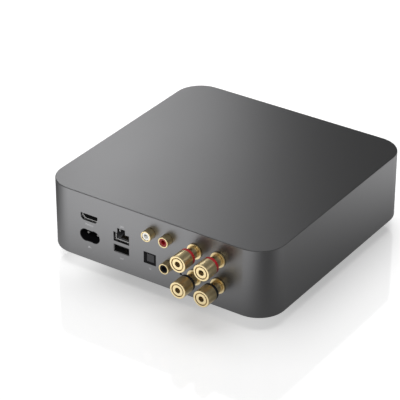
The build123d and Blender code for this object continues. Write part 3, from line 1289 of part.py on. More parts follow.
# Mains filter choke: a ring core on edge with a coil on each upright limb
with BuildPart() as choke:
    with BuildSketch(upright(CHOKE_Y + CHOKE_DEPTH / 2)):
        with Locations((CHOKE_X, BOARD_TOP)):
            Rectangle(CHOKE_WIDTH, CHOKE_HEIGHT, align=(Align.CENTER, Align.MIN))
        with Locations((CHOKE_X, BOARD_TOP + CHOKE_LIMB)):
            Rectangle(
                CHOKE_WIDTH - 2 * CHOKE_LIMB,
                CHOKE_HEIGHT - 2 * CHOKE_LIMB,
                align=(Align.CENTER, Align.MIN),
                mode=Mode.SUBTRACT,
            )
    extrude(amount=CHOKE_DEPTH)
    with BuildSketch(Plane.XY.offset(BOARD_TOP + CHOKE_LIMB + SEAT_GAP)):
        with Locations((CHOKE_X, CHOKE_Y)):
            with GridLocations(CHOKE_WIDTH - CHOKE_LIMB, 1, 2, 1):
                Circle(CHOKE_COIL_RADIUS)
                Rectangle(
                    CHOKE_LIMB + 2 * SEAT_GAP, CHOKE_DEPTH + 2 * SEAT_GAP, mode=Mode.SUBTRACT
                )
    extrude(amount=CHOKE_HEIGHT - 2 * (CHOKE_LIMB + SEAT_GAP))
choke.part.label = "mains_filter_choke"
export_step(choke.part, "parts/mains_filter_choke.step")

# Bulk capacitor of the supply
with BuildPart() as capacitor:
    with BuildSketch(Plane.XY.offset(BOARD_TOP)):
        with Locations((BOARD_SIDE - CAPACITOR_SIDE, CAPACITOR_Y)):
            Circle(CAPACITOR_RADIUS)
    extrude(amount=CAPACITOR_HEIGHT)
    fillet(capacitor.faces().sort_by(Axis.Z)[-1].edges(), CAN_ROUND)
capacitor.part.label = "bulk_capacitor"
export_step(capacitor.part, "parts/bulk_capacitor.step")

# Transformer: a three-limbed core standing on the board, and the wound bobbin on its middle limb
CORE_WINDOW = (CORE_WIDTH - 4 * CORE_LIMB) / 2
WINDOW_HEIGHT = CORE_HEIGHT - 2 * CORE_LIMB
with BuildPart() as core:
    with BuildSketch(upright(TRANSFORMER_Y + CORE_DEPTH / 2)):
        with Locations((TRANSFORMER_X, BOARD_TOP)):
            Rectangle(CORE_WIDTH, CORE_HEIGHT, align=(Align.CENTER, Align.MIN))
        with Locations((TRANSFORMER_X, BOARD_TOP + CORE_HEIGHT / 2)):
            with GridLocations(CORE_WINDOW + 2 * CORE_LIMB, 1, 2, 1):
                Rectangle(CORE_WINDOW, WINDOW_HEIGHT, mode=Mode.SUBTRACT)
    extrude(amount=CORE_DEPTH)
core.part.label = "transformer_core"
export_step(core.part, "parts/transformer_core.step")

with BuildPart() as bobbin:
    with BuildSketch(Plane.XY.offset(BOARD_TOP + CORE_LIMB + SEAT_GAP)):
        with Locations((TRANSFORMER_X, TRANSFORMER_Y)):
            Rectangle(2 * (CORE_LIMB + CORE_WINDOW - SEAT_GAP), BOBBIN_DEPTH)
            Rectangle(
                2 * (CORE_LIMB + SEAT_GAP), CORE_DEPTH + 2 * SEAT_GAP, mode=Mode.SUBTRACT
            )
    extrude(amount=WINDOW_HEIGHT - 2 * SEAT_GAP)
bobbin.part.label = "transformer_bobbin"
export_step(bobbin.part, "parts/transformer_bobbin.step")

# Upright heatsink of the supply's switching transistor
PLATE_FIN_PITCH = (PLATE_SINK_WIDTH - FIN_THICKNESS) / (PLATE_SINK_FINS - 1)
with BuildPart() as supply_sink:
    with BuildSketch(Plane.XY.offset(BOARD_TOP)):
        with Locations((PLATE_SINK_X, PLATE_SINK_Y)):
            Rectangle(PLATE_SINK_WIDTH, PLATE_SINK_THICKNESS)
        with Locations((PLATE_SINK_X, PLATE_SINK_Y - PLATE_SINK_FIN / 2)):
            with GridLocations(PLATE_FIN_PITCH, 1, PLATE_SINK_FINS, 1):
                Rectangle(FIN_THICKNESS, PLATE_SINK_FIN)
    extrude(amount=PLATE_SINK_HEIGHT)
supply_sink.part.label = "supply_heatsink"
export_step(supply_sink.part, "parts/supply_heatsink.step")

# Links between the boards: a header to the rear board, a ribbon to the front board and a supply lead
HEADER_X = (POST_X + POST_PITCH_X / 2 + MAIN_EDGE - STANDOFF_INSET) / 2
RIBBON_X = FRONT_BOARD_X - RIBBON_OFFSET
RIBBON_Z = BOARD_TOP + RIBBON_RISE
RIBBON_START = FRONT_BOARD_BACK + PLUG_DEPTH
RIBBON_END = BOARD_FRONT + PLUG_DEPTH
LINK_START = MAIN_EDGE - LINK_INSET
LINK_END = SUPPLY_EDGE + LINK_INSET
LINK_Z = BOARD_TOP + LINK_RISE
with BuildPart() as links:
    with BuildSketch(upright(REAR_BOARD_BACK)):
        with Locations((HEADER_X, BOARD_TOP)):
            Rectangle(HEADER_WIDTH, HEADER_HEIGHT, align=(Align.CENTER, Align.MIN))
    extrude(amount=HEADER_DEPTH)
    with BuildSketch(Plane.YZ.offset(RIBBON_X)):
        with Locations((FRONT_BOARD_BACK, RIBBON_Z)):
            Rectangle(PLUG_DEPTH, PLUG_HEIGHT, align=(Align.MIN, Align.CENTER))
        with Locations((RIBBON_END, BOARD_TOP)):
            Rectangle(PLUG_HEIGHT, PLUG_DEPTH, align=(Align.CENTER, Align.MIN))
        with BuildLine():
            FilletPolyline(
                (RIBBON_START, RIBBON_Z),
                (RIBBON_END, RIBBON_Z),
                (RIBBON_END, BOARD_TOP + PLUG_DEPTH),
                radius=RIBBON_BEND,
            )
        trace(line_width=RIBBON_THICKNESS)
    extrude(amount=RIBBON_WIDTH / 2, both=True)
    with BuildSketch(upright(LINK_Y)):
        with Locations((LINK_START, BOARD_TOP), (LINK_END, BOARD_TOP)):
            Rectangle(PLUG_HEIGHT, PLUG_DEPTH, align=(Align.CENTER, Align.MIN))
        with BuildLine():
            FilletPolyline(
                (LINK_START, BOARD_TOP + PLUG_DEPTH),
                (LINK_START, LINK_Z),
                (LINK_END, LINK_Z),
                (LINK_END, BOARD_TOP + PLUG_DEPTH),
                radius=RIBBON_BEND,
            )
        trace(line_width=RIBBON_THICKNESS)
    extrude(amount=RIBBON_WIDTH / 2, both=True)
links.part.label = "board_links"
export_step(links.part, "parts/board_links.step")

# Antennas: two strips on the plinth's floor, each with a lead up through both holes to the module
LEAD_FLOOR = PLINTH_INSIDE + ANTENNA_THICKNESS + LEAD_RADIUS
LEAD_TOP = BOARD_TOP + RADIO_BOARD + RADIO_CAN + LEAD_RADIUS
with BuildPart() as antennas:
    with BuildSketch(Plane.XY.offset(PLINTH_INSIDE)):
        with Locations((RADIO_X, LEAD_HOLE_Y)):
            with GridLocations(1, ANTENNA_SPACING, 1, 2):
                with Locations((-ANTENNA_WIDTH / 2, 0)):
                    Rectangle(ANTENNA_LENGTH, ANTENNA_WIDTH, align=(Align.MIN, Align.CENTER))
    extrude(amount=ANTENNA_THICKNESS)
    for side in (-1, 1):
        lead_x = RADIO_X - side * LEAD_SPACING / 2
        lead_y = LEAD_HOLE_Y + side * LEAD_STAGGER / 2
        with BuildLine() as lead_route:
            FilletPolyline(
                (lead_x, LEAD_HOLE_Y + side * ANTENNA_SPACING / 2, LEAD_FLOOR),
                (lead_x, lead_y, LEAD_FLOOR),
                (lead_x, lead_y, LEAD_TOP),
                (lead_x, RADIO_Y, LEAD_TOP),
                radius=LEAD_BEND,
            )
        with BuildSketch(lead_route.line ^ 0):
            Circle(LEAD_RADIUS)
        sweep(path=lead_route.line)
antennas.part.label = "antenna_pair"
export_step(antennas.part, "parts/antenna_pair.step")
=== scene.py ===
# %% [markdown]
# # A compact stereo amplifier, seen from behind
#
# The metal parts of this amplifier come from its CAD model. This lesson gives them their finishes,
# adds the small things that CAD leaves out, and lights the whole like a product photograph. Each step
# first says what the real thing is, then how Blender makes it.
#
# The first step loads the imported model. Its pieces come in at their real size, in metres, with the
# rear panel facing +Y and the volume knob facing -Y.

# %% Load the amplifier
import json

import bmesh
import bpy
import numpy as np
from mathutils import Matrix, Vector


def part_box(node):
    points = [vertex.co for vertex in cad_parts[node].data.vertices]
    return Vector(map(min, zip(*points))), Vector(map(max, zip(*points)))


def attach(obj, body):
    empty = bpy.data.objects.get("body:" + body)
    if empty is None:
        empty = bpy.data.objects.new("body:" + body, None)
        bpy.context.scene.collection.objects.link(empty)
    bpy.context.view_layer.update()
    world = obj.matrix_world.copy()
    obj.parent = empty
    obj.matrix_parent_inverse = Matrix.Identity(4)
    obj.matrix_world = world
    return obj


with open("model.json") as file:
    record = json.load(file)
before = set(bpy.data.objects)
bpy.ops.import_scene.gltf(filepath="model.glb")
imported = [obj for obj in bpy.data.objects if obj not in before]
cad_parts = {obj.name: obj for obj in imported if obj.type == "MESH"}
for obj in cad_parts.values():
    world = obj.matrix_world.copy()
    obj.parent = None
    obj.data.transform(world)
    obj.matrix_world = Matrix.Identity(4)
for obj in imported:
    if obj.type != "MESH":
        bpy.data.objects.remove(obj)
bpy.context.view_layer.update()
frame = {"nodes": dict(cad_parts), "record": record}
record = frame["record"]
parts = frame["nodes"]
print("pieces loaded:", len(parts))

# %% [markdown]
# ## Patterns that finishes share
#
# No real surface has one flat colour. Bead-blasted metal, moulded plastic and sintered ferrite all
# have a fine grain, and everything has faint cloudy patches where it was handled or cooled. Some
# show turning marks as well. Two more groups paint light into the colour: painted shade in crevices,
# and a painted highlight on a cut edge. Each pattern is a node group, built once, so that every
# finish can use it with values of its own.
#
# The groups read Object coordinates. Every piece's object sits at the origin, so those are real
# places on the amplifier, in metres, and a scale of 1000 means features about a millimetre wide.

# %% A helper that starts a node group
def start_group(name, inputs, outputs):
    """A new node group with number inputs {name: value} and outputs {name: kind of socket}."""
    group = bpy.data.node_groups.new(name, "ShaderNodeTree")
    for label, value in inputs.items():
        kind = "NodeSocketColor" if isinstance(value, tuple) else "NodeSocketFloat"
        socket = group.interface.new_socket(name=label, in_out="INPUT", socket_type=kind)
        socket.default_value = value
    for label, kind in outputs.items():
        group.interface.new_socket(name=label, in_out="OUTPUT", socket_type=kind)
    start = group.nodes.new("NodeGroupInput")
    end = group.nodes.new("NodeGroupOutput")
    return group, start, end


def add_math(group, operation, first, second):
    """A Math node in the group. Each of its two inputs is a number or another node's output."""
    node = group.nodes.new("ShaderNodeMath")
    node.operation = operation
    for place, value in enumerate((first, second)):
        if isinstance(value, (int, float)):
            node.inputs[place].default_value = value
        else:
            group.links.new(value, node.inputs[place])
    return node.outputs[0]


# %% [markdown]
# ### Grain
#
# The grain group is plain noise. It puts out a height, which a Bump node turns into tiny dents,
# and the same value again as a mask.

# %% Build the grain group
def build_grain():
    """Height = noise at Scale, times Depth in metres. Mask = the noise itself, from 0 to 1."""
    group, start, end = start_group(
        "grain",
        {"Scale": 1000.0, "Depth": 0.00001},
        {"Height": "NodeSocketFloat", "Mask": "NodeSocketFloat"},
    )
    place = group.nodes.new("ShaderNodeTexCoord")
    noise = group.nodes.new("ShaderNodeTexNoise")
    noise.inputs["Detail"].default_value = 3.0
    noise.inputs["Roughness"].default_value = 0.6
    group.links.new(place.outputs["Object"], noise.inputs["Vector"])
    group.links.new(start.outputs["Scale"], noise.inputs["Scale"])
    height = add_math(group, "MULTIPLY", noise.outputs[0], start.outputs["Depth"])
    group.links.new(height, end.inputs["Height"])
    group.links.new(noise.outputs[0], end.inputs["Mask"])
    return group


grain = build_grain()
print("group:", grain.name)

# %% [markdown]
# ### Clouding
#
# The clouding group mixes a finish's colour with a slightly darker one in wide soft patches, and
# moves its roughness up and down by a little, the way anodising and handling do.

# %% Build the clouding group
def build_clouding():
    """Colour = Light and Dark mixed by wide noise. Roughness = Base + Spread * (noise - a half)."""
    group, start, end = start_group(
        "clouding",
        {
            "Light": (0.5, 0.5, 0.5, 1.0),
            "Dark": (0.4, 0.4, 0.4, 1.0),
            "Scale": 20.0,
            "Base": 0.5,
            "Spread": 0.05,
        },
        {"Colour": "NodeSocketColor", "Roughness": "NodeSocketFloat"},
    )
    place = group.nodes.new("ShaderNodeTexCoord")
    noise = group.nodes.new("ShaderNodeTexNoise")
    noise.inputs["Detail"].default_value = 2.0
    blend = group.nodes.new("ShaderNodeMix")
    blend.data_type = "RGBA"
    group.links.new(place.outputs["Object"], noise.inputs["Vector"])
    group.links.new(start.outputs["Scale"], noise.inputs["Scale"])
    group.links.new(noise.outputs[0], blend.inputs["Factor"])
    group.links.new(start.outputs["Light"], blend.inputs[6])
    group.links.new(start.outputs["Dark"], blend.inputs[7])
    group.links.new(blend.outputs[2], end.inputs["Colour"])
    centred = add_math(group, "SUBTRACT", noise.outputs[0], 0.5)
    swing = add_math(group, "MULTIPLY", centred, start.outputs["Spread"])
    group.links.new(add_math(group, "ADD", start.outputs["Base"], swing), end.inputs["Roughness"])
    return group


clouding = build_clouding()
print("group:", clouding.name)

# %% [markdown]
# ### Turning marks
#
# A lathe leaves fine rings round the axis that the work turned about. The turning group measures how
# far a place is from an axis that runs along Y through (X, Z), and makes a ripple of that distance.
# Its mask is 1 on the crests and 0 in the troughs.

# %% Build the turning group
def build_turning():
    """Ripple = sine of the distance from the axis, Pitch metres from crest to crest."""
    group, start, end = start_group(
        "turning",
        {"X": 0.0, "Z": 0.0, "Pitch": 0.0005, "Depth": 0.000001},
        {"Height": "NodeSocketFloat", "Mask": "NodeSocketFloat"},
    )
    place = group.nodes.new("ShaderNodeTexCoord")
    split = group.nodes.new("ShaderNodeSeparateXYZ")
    group.links.new(place.outputs["Object"], split.inputs[0])
    across = add_math(group, "SUBTRACT", split.outputs["X"], start.outputs["X"])
    above = add_math(group, "SUBTRACT", split.outputs["Z"], start.outputs["Z"])
    across_squared = add_math(group, "MULTIPLY", across, across)
    above_squared = add_math(group, "MULTIPLY", above, above)
    squares = add_math(group, "ADD", across_squared, above_squared)
    away = add_math(group, "SQRT", squares, 0.0)
    rings = add_math(group, "DIVIDE", away, start.outputs["Pitch"])
    turns = add_math(group, "MULTIPLY", rings, 2 * np.pi)
    crest = add_math(group, "SINE", turns, 0.0)
    group.links.new(add_math(group, "MULTIPLY", crest, start.outputs["Depth"]), end.inputs["Height"])
    mask = add_math(group, "ADD", add_math(group, "MULTIPLY", crest, 0.5), 0.5)
    group.links.new(mask, end.inputs["Mask"])
    return group


turning = build_turning()
print("group:", turning.name)

# %% [markdown]
# ### Painted shade in crevices
#
# Grooves and deep holes look darker than open faces, because little light gets in and out. This
# group paints that shade into the colour: it asks how open a place is within a short distance, and
# darkens the colour that it is given where the answer is low.

# %% Build the crevice shade group
CREVICE_SAMPLES = 8


def build_crevice_shade():
    """Painted shade: Colour = Dark where the place is shut in within Distance metres, Light where
    open.
    """
    group, start, end = start_group(
        "crevice_shade",
        {
            "Light": (0.5, 0.5, 0.5, 1.0),
            "Dark": (0.0, 0.0, 0.0, 1.0),
            "Distance": 0.001,
            "Low": 0.3,
            "High": 0.85,
        },
        {"Colour": "NodeSocketColor", "Mask": "NodeSocketFloat"},
    )
    around = group.nodes.new("ShaderNodeAmbientOcclusion")
    around.samples = CREVICE_SAMPLES
    openness = group.nodes.new("ShaderNodeMapRange")
    blend = group.nodes.new("ShaderNodeMix")
    blend.data_type = "RGBA"
    group.links.new(start.outputs["Distance"], around.inputs["Distance"])
    group.links.new(around.outputs["AO"], openness.inputs["Value"])
    group.links.new(start.outputs["Low"], openness.inputs["From Min"])
    group.links.new(start.outputs["High"], openness.inputs["From Max"])
    group.links.new(openness.outputs["Result"], blend.inputs["Factor"])
    group.links.new(start.outputs["Dark"], blend.inputs[6])
    group.links.new(start.outputs["Light"], blend.inputs[7])
    group.links.new(blend.outputs[2], end.inputs["Colour"])
    group.links.new(openness.outputs["Result"], end.inputs["Mask"])
    return group


crevice_shade = build_crevice_shade()
print("group:", crevice_shade.name)

# %% [markdown]
# ### Painted light on cut edges
#
# The sheet steel of the sockets is painted dark inside, as painted shade, and the edge where it was
# cut gets a painted highlight. That edge is the foremost face of the piece, so the group's mask is 1
# just behind the height Front along Y.

# %% Build the painted edge light group
EDGE_DEPTH = 0.00012


def build_painted_edge_light():
    """Mask goes from 0 to 1 over the last EDGE_DEPTH metres before Y = Front. Colour follows it, from
    painted shade to a painted highlight.
    """
    group, start, end = start_group(
        "painted_edge_light",
        {"Bright": (0.9, 0.9, 0.9, 1.0), "Shaded": (0.02, 0.02, 0.02, 1.0), "Front": 0.095},
        {"Colour": "NodeSocketColor", "Mask": "NodeSocketFloat"},
    )
    place = group.nodes.new("ShaderNodeTexCoord")
    split = group.nodes.new("ShaderNodeSeparateXYZ")
    blend = group.nodes.new("ShaderNodeMix")
    blend.data_type = "RGBA"
    group.links.new(place.outputs["Object"], split.inputs[0])
    behind = add_math(group, "SUBTRACT", start.outputs["Front"], split.outputs["Y"])
    ahead = add_math(group, "SUBTRACT", 1.0, add_math(group, "DIVIDE", behind, EDGE_DEPTH))
    mask = add_math(group, "MINIMUM", add_math(group, "MAXIMUM", ahead, 0.0), 1.0)
    group.links.new(mask, blend.inputs["Factor"])
    group.links.new(start.outputs["Shaded"], blend.inputs[6])
    group.links.new(start.outputs["Bright"], blend.inputs[7])
    group.links.new(blend.outputs[2], end.inputs["Colour"])
    group.links.new(mask, end.inputs["Mask"])
    return group


painted_edge_light = build_painted_edge_light()
print("group:", painted_edge_light.name)

# %% [markdown]
# ## One recipe for a finish
#
# A finish is a Principled BSDF with the two groups in front of it: clouding gives its colour and
# roughness, and grain gives its bumps. Whatever is the same all over, such as how metallic it is or
# how thick its clear coat is, is set on the shader itself. The other three groups are added to the
# finishes that need them.

# %% The recipe
BUMP_DISTANCE = 1.0
COAT_SMOOTHER = 3


def add_turning(material, x, z, pitch, depth, swing):
    """Adds turning marks, in millimetres, to a finish. swing is how much rougher the crests are."""
    nodes, links = material.node_tree.nodes, material.node_tree.links
    shader = nodes["Principled BSDF"]
    bump = shader.inputs["Normal"].links[0].from_node
    grain_height = bump.inputs["Height"].links[0].from_socket
    cloud_rough = shader.inputs["Roughness"].links[0].from_socket
    rings = nodes.new("ShaderNodeGroup")
    rings.node_tree = turning
    for label, value in {"X": x, "Z": z, "Pitch": pitch, "Depth": depth}.items():
        rings.inputs[label].default_value = value / 1000.0
    both = add_math(material.node_tree, "ADD", grain_height, rings.outputs["Height"])
    links.new(both, bump.inputs["Height"])
    rougher = add_math(material.node_tree, "MULTIPLY", rings.outputs["Mask"], swing)
    links.new(add_math(material.node_tree, "ADD", cloud_rough, rougher), shader.inputs["Roughness"])


def add_crevice_shade(material, dark, distance, low=0.3, high=0.85):
    """Puts the painted shade of crevices between a finish's colour and its shader. distance is in
    millimetres.
    """
    nodes, links = material.node_tree.nodes, material.node_tree.links
    shader = nodes["Principled BSDF"]
    deep = nodes.new("ShaderNodeGroup")
    deep.node_tree = crevice_shade
    links.new(shader.inputs["Base Color"].links[0].from_socket, deep.inputs["Light"])
    deep.inputs["Dark"].default_value = (*dark, 1.0)
    for label, value in {"Distance": distance / 1000.0, "Low": low, "High": high}.items():
        deep.inputs[label].default_value = value
    links.new(deep.outputs["Colour"], shader.inputs["Base Color"])


def add_painted_edge_light(material, bright, front):
    """Paints a highlight on the foremost edge of a sheet piece. front is its height along Y in
    metres.
    """
    nodes, links = material.node_tree.nodes, material.node_tree.links
    shader = nodes["Principled BSDF"]
    edge = nodes.new("ShaderNodeGroup")
    edge.node_tree = painted_edge_light
    links.new(shader.inputs["Base Color"].links[0].from_socket, edge.inputs["Shaded"])
    edge.inputs["Bright"].default_value = (*bright, 1.0)
    edge.inputs["Front"].default_value = front
    links.new(edge.outputs["Colour"], shader.inputs["Base Color"])


def make_finish(name, colour, rough, metal=0.0, grain_size=0.4, grain_depth=0.004, cloud_size=40.0,
                darker=0.88, spread=0.06, coat=0.0, clear=0.0, shine=0.5):
    """A material. Sizes are in millimetres; darker is how dark the patches are beside the colour."""
    material = bpy.data.materials.new(name)
    material.use_nodes = True
    nodes, links = material.node_tree.nodes, material.node_tree.links
    shader = nodes["Principled BSDF"]
    shader.inputs["Metallic"].default_value = metal
    shader.inputs["Coat Weight"].default_value = coat
    shader.inputs["Coat Roughness"].default_value = rough / COAT_SMOOTHER
    shader.inputs["Transmission Weight"].default_value = clear
    shader.inputs["Specular IOR Level"].default_value = shine
    patches = nodes.new("ShaderNodeGroup")
    patches.node_tree = clouding
    patches.inputs["Light"].default_value = (*colour, 1.0)
    patches.inputs["Dark"].default_value = (*(part * darker for part in colour), 1.0)
    patches.inputs["Scale"].default_value = 1000.0 / cloud_size
    patches.inputs["Base"].default_value = rough
    patches.inputs["Spread"].default_value = spread
    speckle = nodes.new("ShaderNodeGroup")
    speckle.node_tree = grain
    speckle.inputs["Scale"].default_value = 1000.0 / grain_size
    speckle.inputs["Depth"].default_value = grain_depth / 1000.0
    bump = nodes.new("ShaderNodeBump")
    bump.inputs["Distance"].default_value = BUMP_DISTANCE
    links.new(patches.outputs["Colour"], shader.inputs["Base Color"])
    links.new(patches.outputs["Roughness"], shader.inputs["Roughness"])
    links.new(speckle.outputs["Height"], bump.inputs["Height"])
    links.new(bump.outputs["Normal"], shader.inputs["Normal"])
    return material


# %% [markdown]
# ## The finishes
#
# The case is aluminium, blasted with fine glass beads and then anodised dark grey, so it is satin:
# it reflects the studio, but blurred. The posts and the phono barrels are gold plated and turned on
# a lathe, so they are much sharper. The volume knob is turned too, and its rings show. The rest is
# moulded plastic, rubber, tin and copper.

# %% Finishes that show from outside
OUTER_FINISHES = {
    "case_aluminium": dict(
        colour=(0.25, 0.25, 0.255), rough=0.36, metal=1.0, grain_size=0.35, grain_depth=0.002,
        cloud_size=90.0, darker=0.94, spread=0.03,
    ),
    "knob_aluminium": dict(
        colour=(0.25, 0.25, 0.255), rough=0.32, metal=1.0, grain_size=0.3, grain_depth=0.002,
        darker=0.94, spread=0.03,
    ),
    "gold_plate": dict(
        colour=(0.98, 0.8, 0.46), rough=0.32, metal=0.97, grain_size=0.5, grain_depth=0.0002,
        cloud_size=9.0, darker=0.95, spread=0.04,
    ),
    "collar_red": dict(colour=(0.34, 0.014, 0.018), rough=0.35, coat=0.2, cloud_size=8.0),
    "collar_black": dict(colour=(0.01, 0.01, 0.011), rough=0.35, cloud_size=8.0, shine=0.35),
    "core_white": dict(colour=(0.66, 0.66, 0.63), rough=0.35, coat=0.2, cloud_size=5.0),
    "core_red": dict(colour=(0.2, 0.005, 0.006), rough=0.4, cloud_size=5.0),
    "socket_black": dict(
        colour=(0.004, 0.004, 0.0045), rough=0.5, grain_size=0.25, cloud_size=6.0, shine=0.08,
    ),
    "housing_grey": dict(
        colour=(0.07, 0.07, 0.072), rough=0.5, grain_size=0.3, cloud_size=5.0, shine=0.3,
    ),
    "washer_grey": dict(
        colour=(0.13, 0.125, 0.115), rough=0.5, grain_size=0.3, cloud_size=5.0, shine=0.3,
    ),
    "shutter_grey": dict(
        colour=(0.03, 0.03, 0.032), rough=0.45, grain_size=0.2, cloud_size=5.0, shine=0.3,
    ),
    "socket_steel": dict(
        colour=(0.2, 0.2, 0.2), rough=0.35, metal=0.98, grain_size=0.8, grain_depth=0.001,
        cloud_size=5.0,
    ),
    "pin_nickel": dict(
        colour=(0.26, 0.255, 0.25), rough=0.42, metal=1.0, grain_size=0.5, grain_depth=0.0006,
        cloud_size=4.0,
    ),
    "plinth_black": dict(colour=(0.02, 0.02, 0.022), rough=0.6, grain_size=0.5, grain_depth=0.02),
    "foot_rubber": dict(colour=(0.016, 0.016, 0.016), rough=0.85, grain_size=0.7, grain_depth=0.03),
    "plate_black": dict(colour=(0.03, 0.03, 0.032), rough=0.55, grain_size=0.5, grain_depth=0.015),
    "screw_black": dict(
        colour=(0.06, 0.06, 0.065), rough=0.35, metal=1.0, grain_size=0.5, grain_depth=0.001,
        cloud_size=4.0,
    ),
    "pipe_clear": dict(
        colour=(0.9, 0.92, 0.93), rough=0.12, clear=0.9, cloud_size=3.0, darker=0.97,
    ),
}
finishes = {name: make_finish(name, **values) for name, values in OUTER_FINISHES.items()}
print("outer finishes:", len(finishes))

# %% Finishes inside the case
INNER_FINISHES = {
    "screw_steel": dict(
        colour=(0.62, 0.62, 0.63), rough=0.3, metal=1.0, grain_size=0.5, grain_depth=0.001,
        cloud_size=4.0,
    ),
    "board_green": dict(
        colour=(0.02, 0.1, 0.045), rough=0.35, grain_size=1.2, grain_depth=0.01, cloud_size=5.0,
        darker=0.6, coat=0.4,
    ),
    "chip_black": dict(colour=(0.02, 0.02, 0.02), rough=0.5, grain_size=0.2, cloud_size=4.0),
    "pad_grey": dict(colour=(0.4, 0.46, 0.52), rough=0.7, grain_size=0.6, grain_depth=0.02),
    "sink_aluminium": dict(
        colour=(0.68, 0.68, 0.7), rough=0.38, metal=1.0, grain_size=1.5, grain_depth=0.004,
    ),
    "inductor_grey": dict(colour=(0.09, 0.09, 0.09), rough=0.6, grain_size=0.3, grain_depth=0.02),
    "can_black": dict(colour=(0.03, 0.03, 0.04), rough=0.25, coat=0.3, cloud_size=10.0),
    "shield_tin": dict(
        colour=(0.7, 0.7, 0.68), rough=0.28, metal=1.0, grain_size=2.0, grain_depth=0.003,
        cloud_size=12.0,
    ),
    "fuse_white": dict(colour=(0.76, 0.74, 0.68), rough=0.25, coat=0.4, cloud_size=5.0),
    "core_ferrite": dict(colour=(0.05, 0.05, 0.055), rough=0.55, grain_size=0.3, grain_depth=0.02),
    "bobbin_yellow": dict(colour=(0.7, 0.5, 0.05), rough=0.35, grain_size=1.5, grain_depth=0.03),
    "cable_grey": dict(colour=(0.32, 0.32, 0.33), rough=0.5, grain_size=1.3, grain_depth=0.04),
}
finishes |= {name: make_finish(name, **values) for name, values in INNER_FINISHES.items()}
print("all finishes:", len(finishes))

# %% [markdown]
# Four finishes get painted shade where they are shut in: the gold in its grooves, the case in the
# reset pinhole, and the two coloured cores of the line sockets down in their bores. The knob shows
# turning rings.

# %% Painted crevice shade and rings
add_crevice_shade(finishes["gold_plate"], (0.4, 0.24, 0.06), 1.2)
add_crevice_shade(finishes["case_aluminium"], (0.004, 0.004, 0.004), 2.5, low=0.15, high=0.42)
add_crevice_shade(finishes["core_white"], (0.12, 0.12, 0.12), 3.0, low=0.25, high=0.7)
add_crevice_shade(finishes["core_red"], (0.03, 0.001, 0.001), 3.0, low=0.25, high=0.7)
KNOB_AXIS = (50.0, 36.3)
add_turning(finishes["knob_aluminium"], *KNOB_AXIS, pitch=0.6, depth=0.0012, swing=0.06)
print("knob axis:", KNOB_AXIS)

# %% [markdown]
# ## Give each piece its finish
#
# The record says which finish each piece takes. A CAD piece is never moved or reshaped here: only
# the material in its slot changes. Two steel pieces sit deep in their openings, so each gets its own
# finish: painted shade makes it dark inside, and a painted highlight makes its cut edge bright at the
# piece's own foremost place. The spring wires of the network socket are gold as well, but so deep
# inside that painted shade darkens them, and its housing is a lighter plastic than the other
# sockets, so that something shows in its depth. The posts' thin washers are grey too, or they would
# draw a black ring round each flange.

# %% Assign the finishes
for subpart in record["subparts"]:
    for slot in parts[subpart["node"]].material_slots:
        slot.material = finishes[subpart["material_slot"]]

EDGE_PIECES = ("video_socket_shell", "network_socket_shield")
# Painted shade makes this steel dark inside, and a painted highlight makes its foremost edge bright.
STEEL_IN_PAINTED_SHADE = dict(colour=(0.025, 0.025, 0.025), rough=0.4, metal=0.5, grain_size=0.8, cloud_size=5.0)
PAINTED_EDGE_HIGHLIGHT = (0.78, 0.78, 0.77)
for node in EDGE_PIECES:
    edged = make_finish(f"{node}_steel", **STEEL_IN_PAINTED_SHADE)
    add_painted_edge_light(edged, PAINTED_EDGE_HIGHLIGHT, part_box(node)[1][1])
    for slot in parts[node].material_slots:
        slot.material = edged

# Painted shade darkens the gold spring wires deep inside the network socket.
gold_in_painted_shade = make_finish(
    "gold_in_painted_shade", (0.9, 0.68, 0.3), 0.35, metal=1.0, grain_size=0.5, grain_depth=0.0002
)
add_crevice_shade(gold_in_painted_shade, (0.03, 0.022, 0.01), 6.0, low=0.55, high=1.0)
OWN_FINISHES = {
    "network_socket_contacts": gold_in_painted_shade,
    "network_socket_housing": finishes["housing_grey"],
    "post_washers": finishes["washer_grey"],
}
for node, finish in OWN_FINISHES.items():
    for slot in parts[node].material_slots:
        slot.material = finish
print("pieces with a finish of their own:", len(EDGE_PIECES) + len(OWN_FINISHES))

# %% [markdown]
# ## Small things that CAD leaves out
#
# Two kinds of small piece are missing from the CAD model: the printed numbers beside the sockets,
# and the gold contact strips on the tongues of the two flat sockets. Both are beads: an oval outline
# that is carried along a path and shrinks to nothing at both ends. A line of thick ink is such a
# bead, 0.02 millimetres high, and so is a stamped strip with rounded ends.

# %% The bead surface
MM = 0.001
AROUND = 16
MERGE_DISTANCE = 0.0000001


def bead(path, up, half_width, half_height, round_end):
    """Closed bead along a path of 3-D points, in millimetres.

    Along the path the outline is an oval: across it lies side = direction x up, and out of it lies
    up. The oval's size is multiplied by sqrt(1 - t ** 2), where t goes from 1 at either end of the
    path to 0 once the distance from that end is round_end.
    """
    steps = np.linalg.norm(np.diff(path, axis=0), axis=1)
    along = np.concatenate([[0.0], np.cumsum(steps)])
    direction = np.gradient(path, axis=0)
    direction /= np.linalg.norm(direction, axis=1, keepdims=True)
    side = np.cross(direction, up)
    side /= np.linalg.norm(side, axis=1, keepdims=True)
    from_end = np.minimum(along, along[-1] - along)
    t = 1.0 - np.clip(from_end / round_end, 0.0, 1.0)
    size = np.sqrt(np.clip(1.0 - t**2, 0.0, 1.0))[:, None, None]
    angle = np.linspace(0.0, 2.0 * np.pi, AROUND, endpoint=False)[None, :, None]
    across = half_width * np.cos(angle) * side[:, None, :]
    outward = half_height * np.sin(angle) * np.asarray(up)
    return path[:, None, :] + size * (across + outward)


def bead_faces(rows, first):
    """Quads between neighbouring rows of the outline, all wound the same way, from vertex first."""
    row, column = np.meshgrid(np.arange(rows - 1), np.arange(AROUND), indexing="ij")
    here = row * AROUND + column
    beside = row * AROUND + (column + 1) % AROUND
    return first + np.stack([here, beside, beside + AROUND, here + AROUND], axis=-1).reshape(-1, 4)


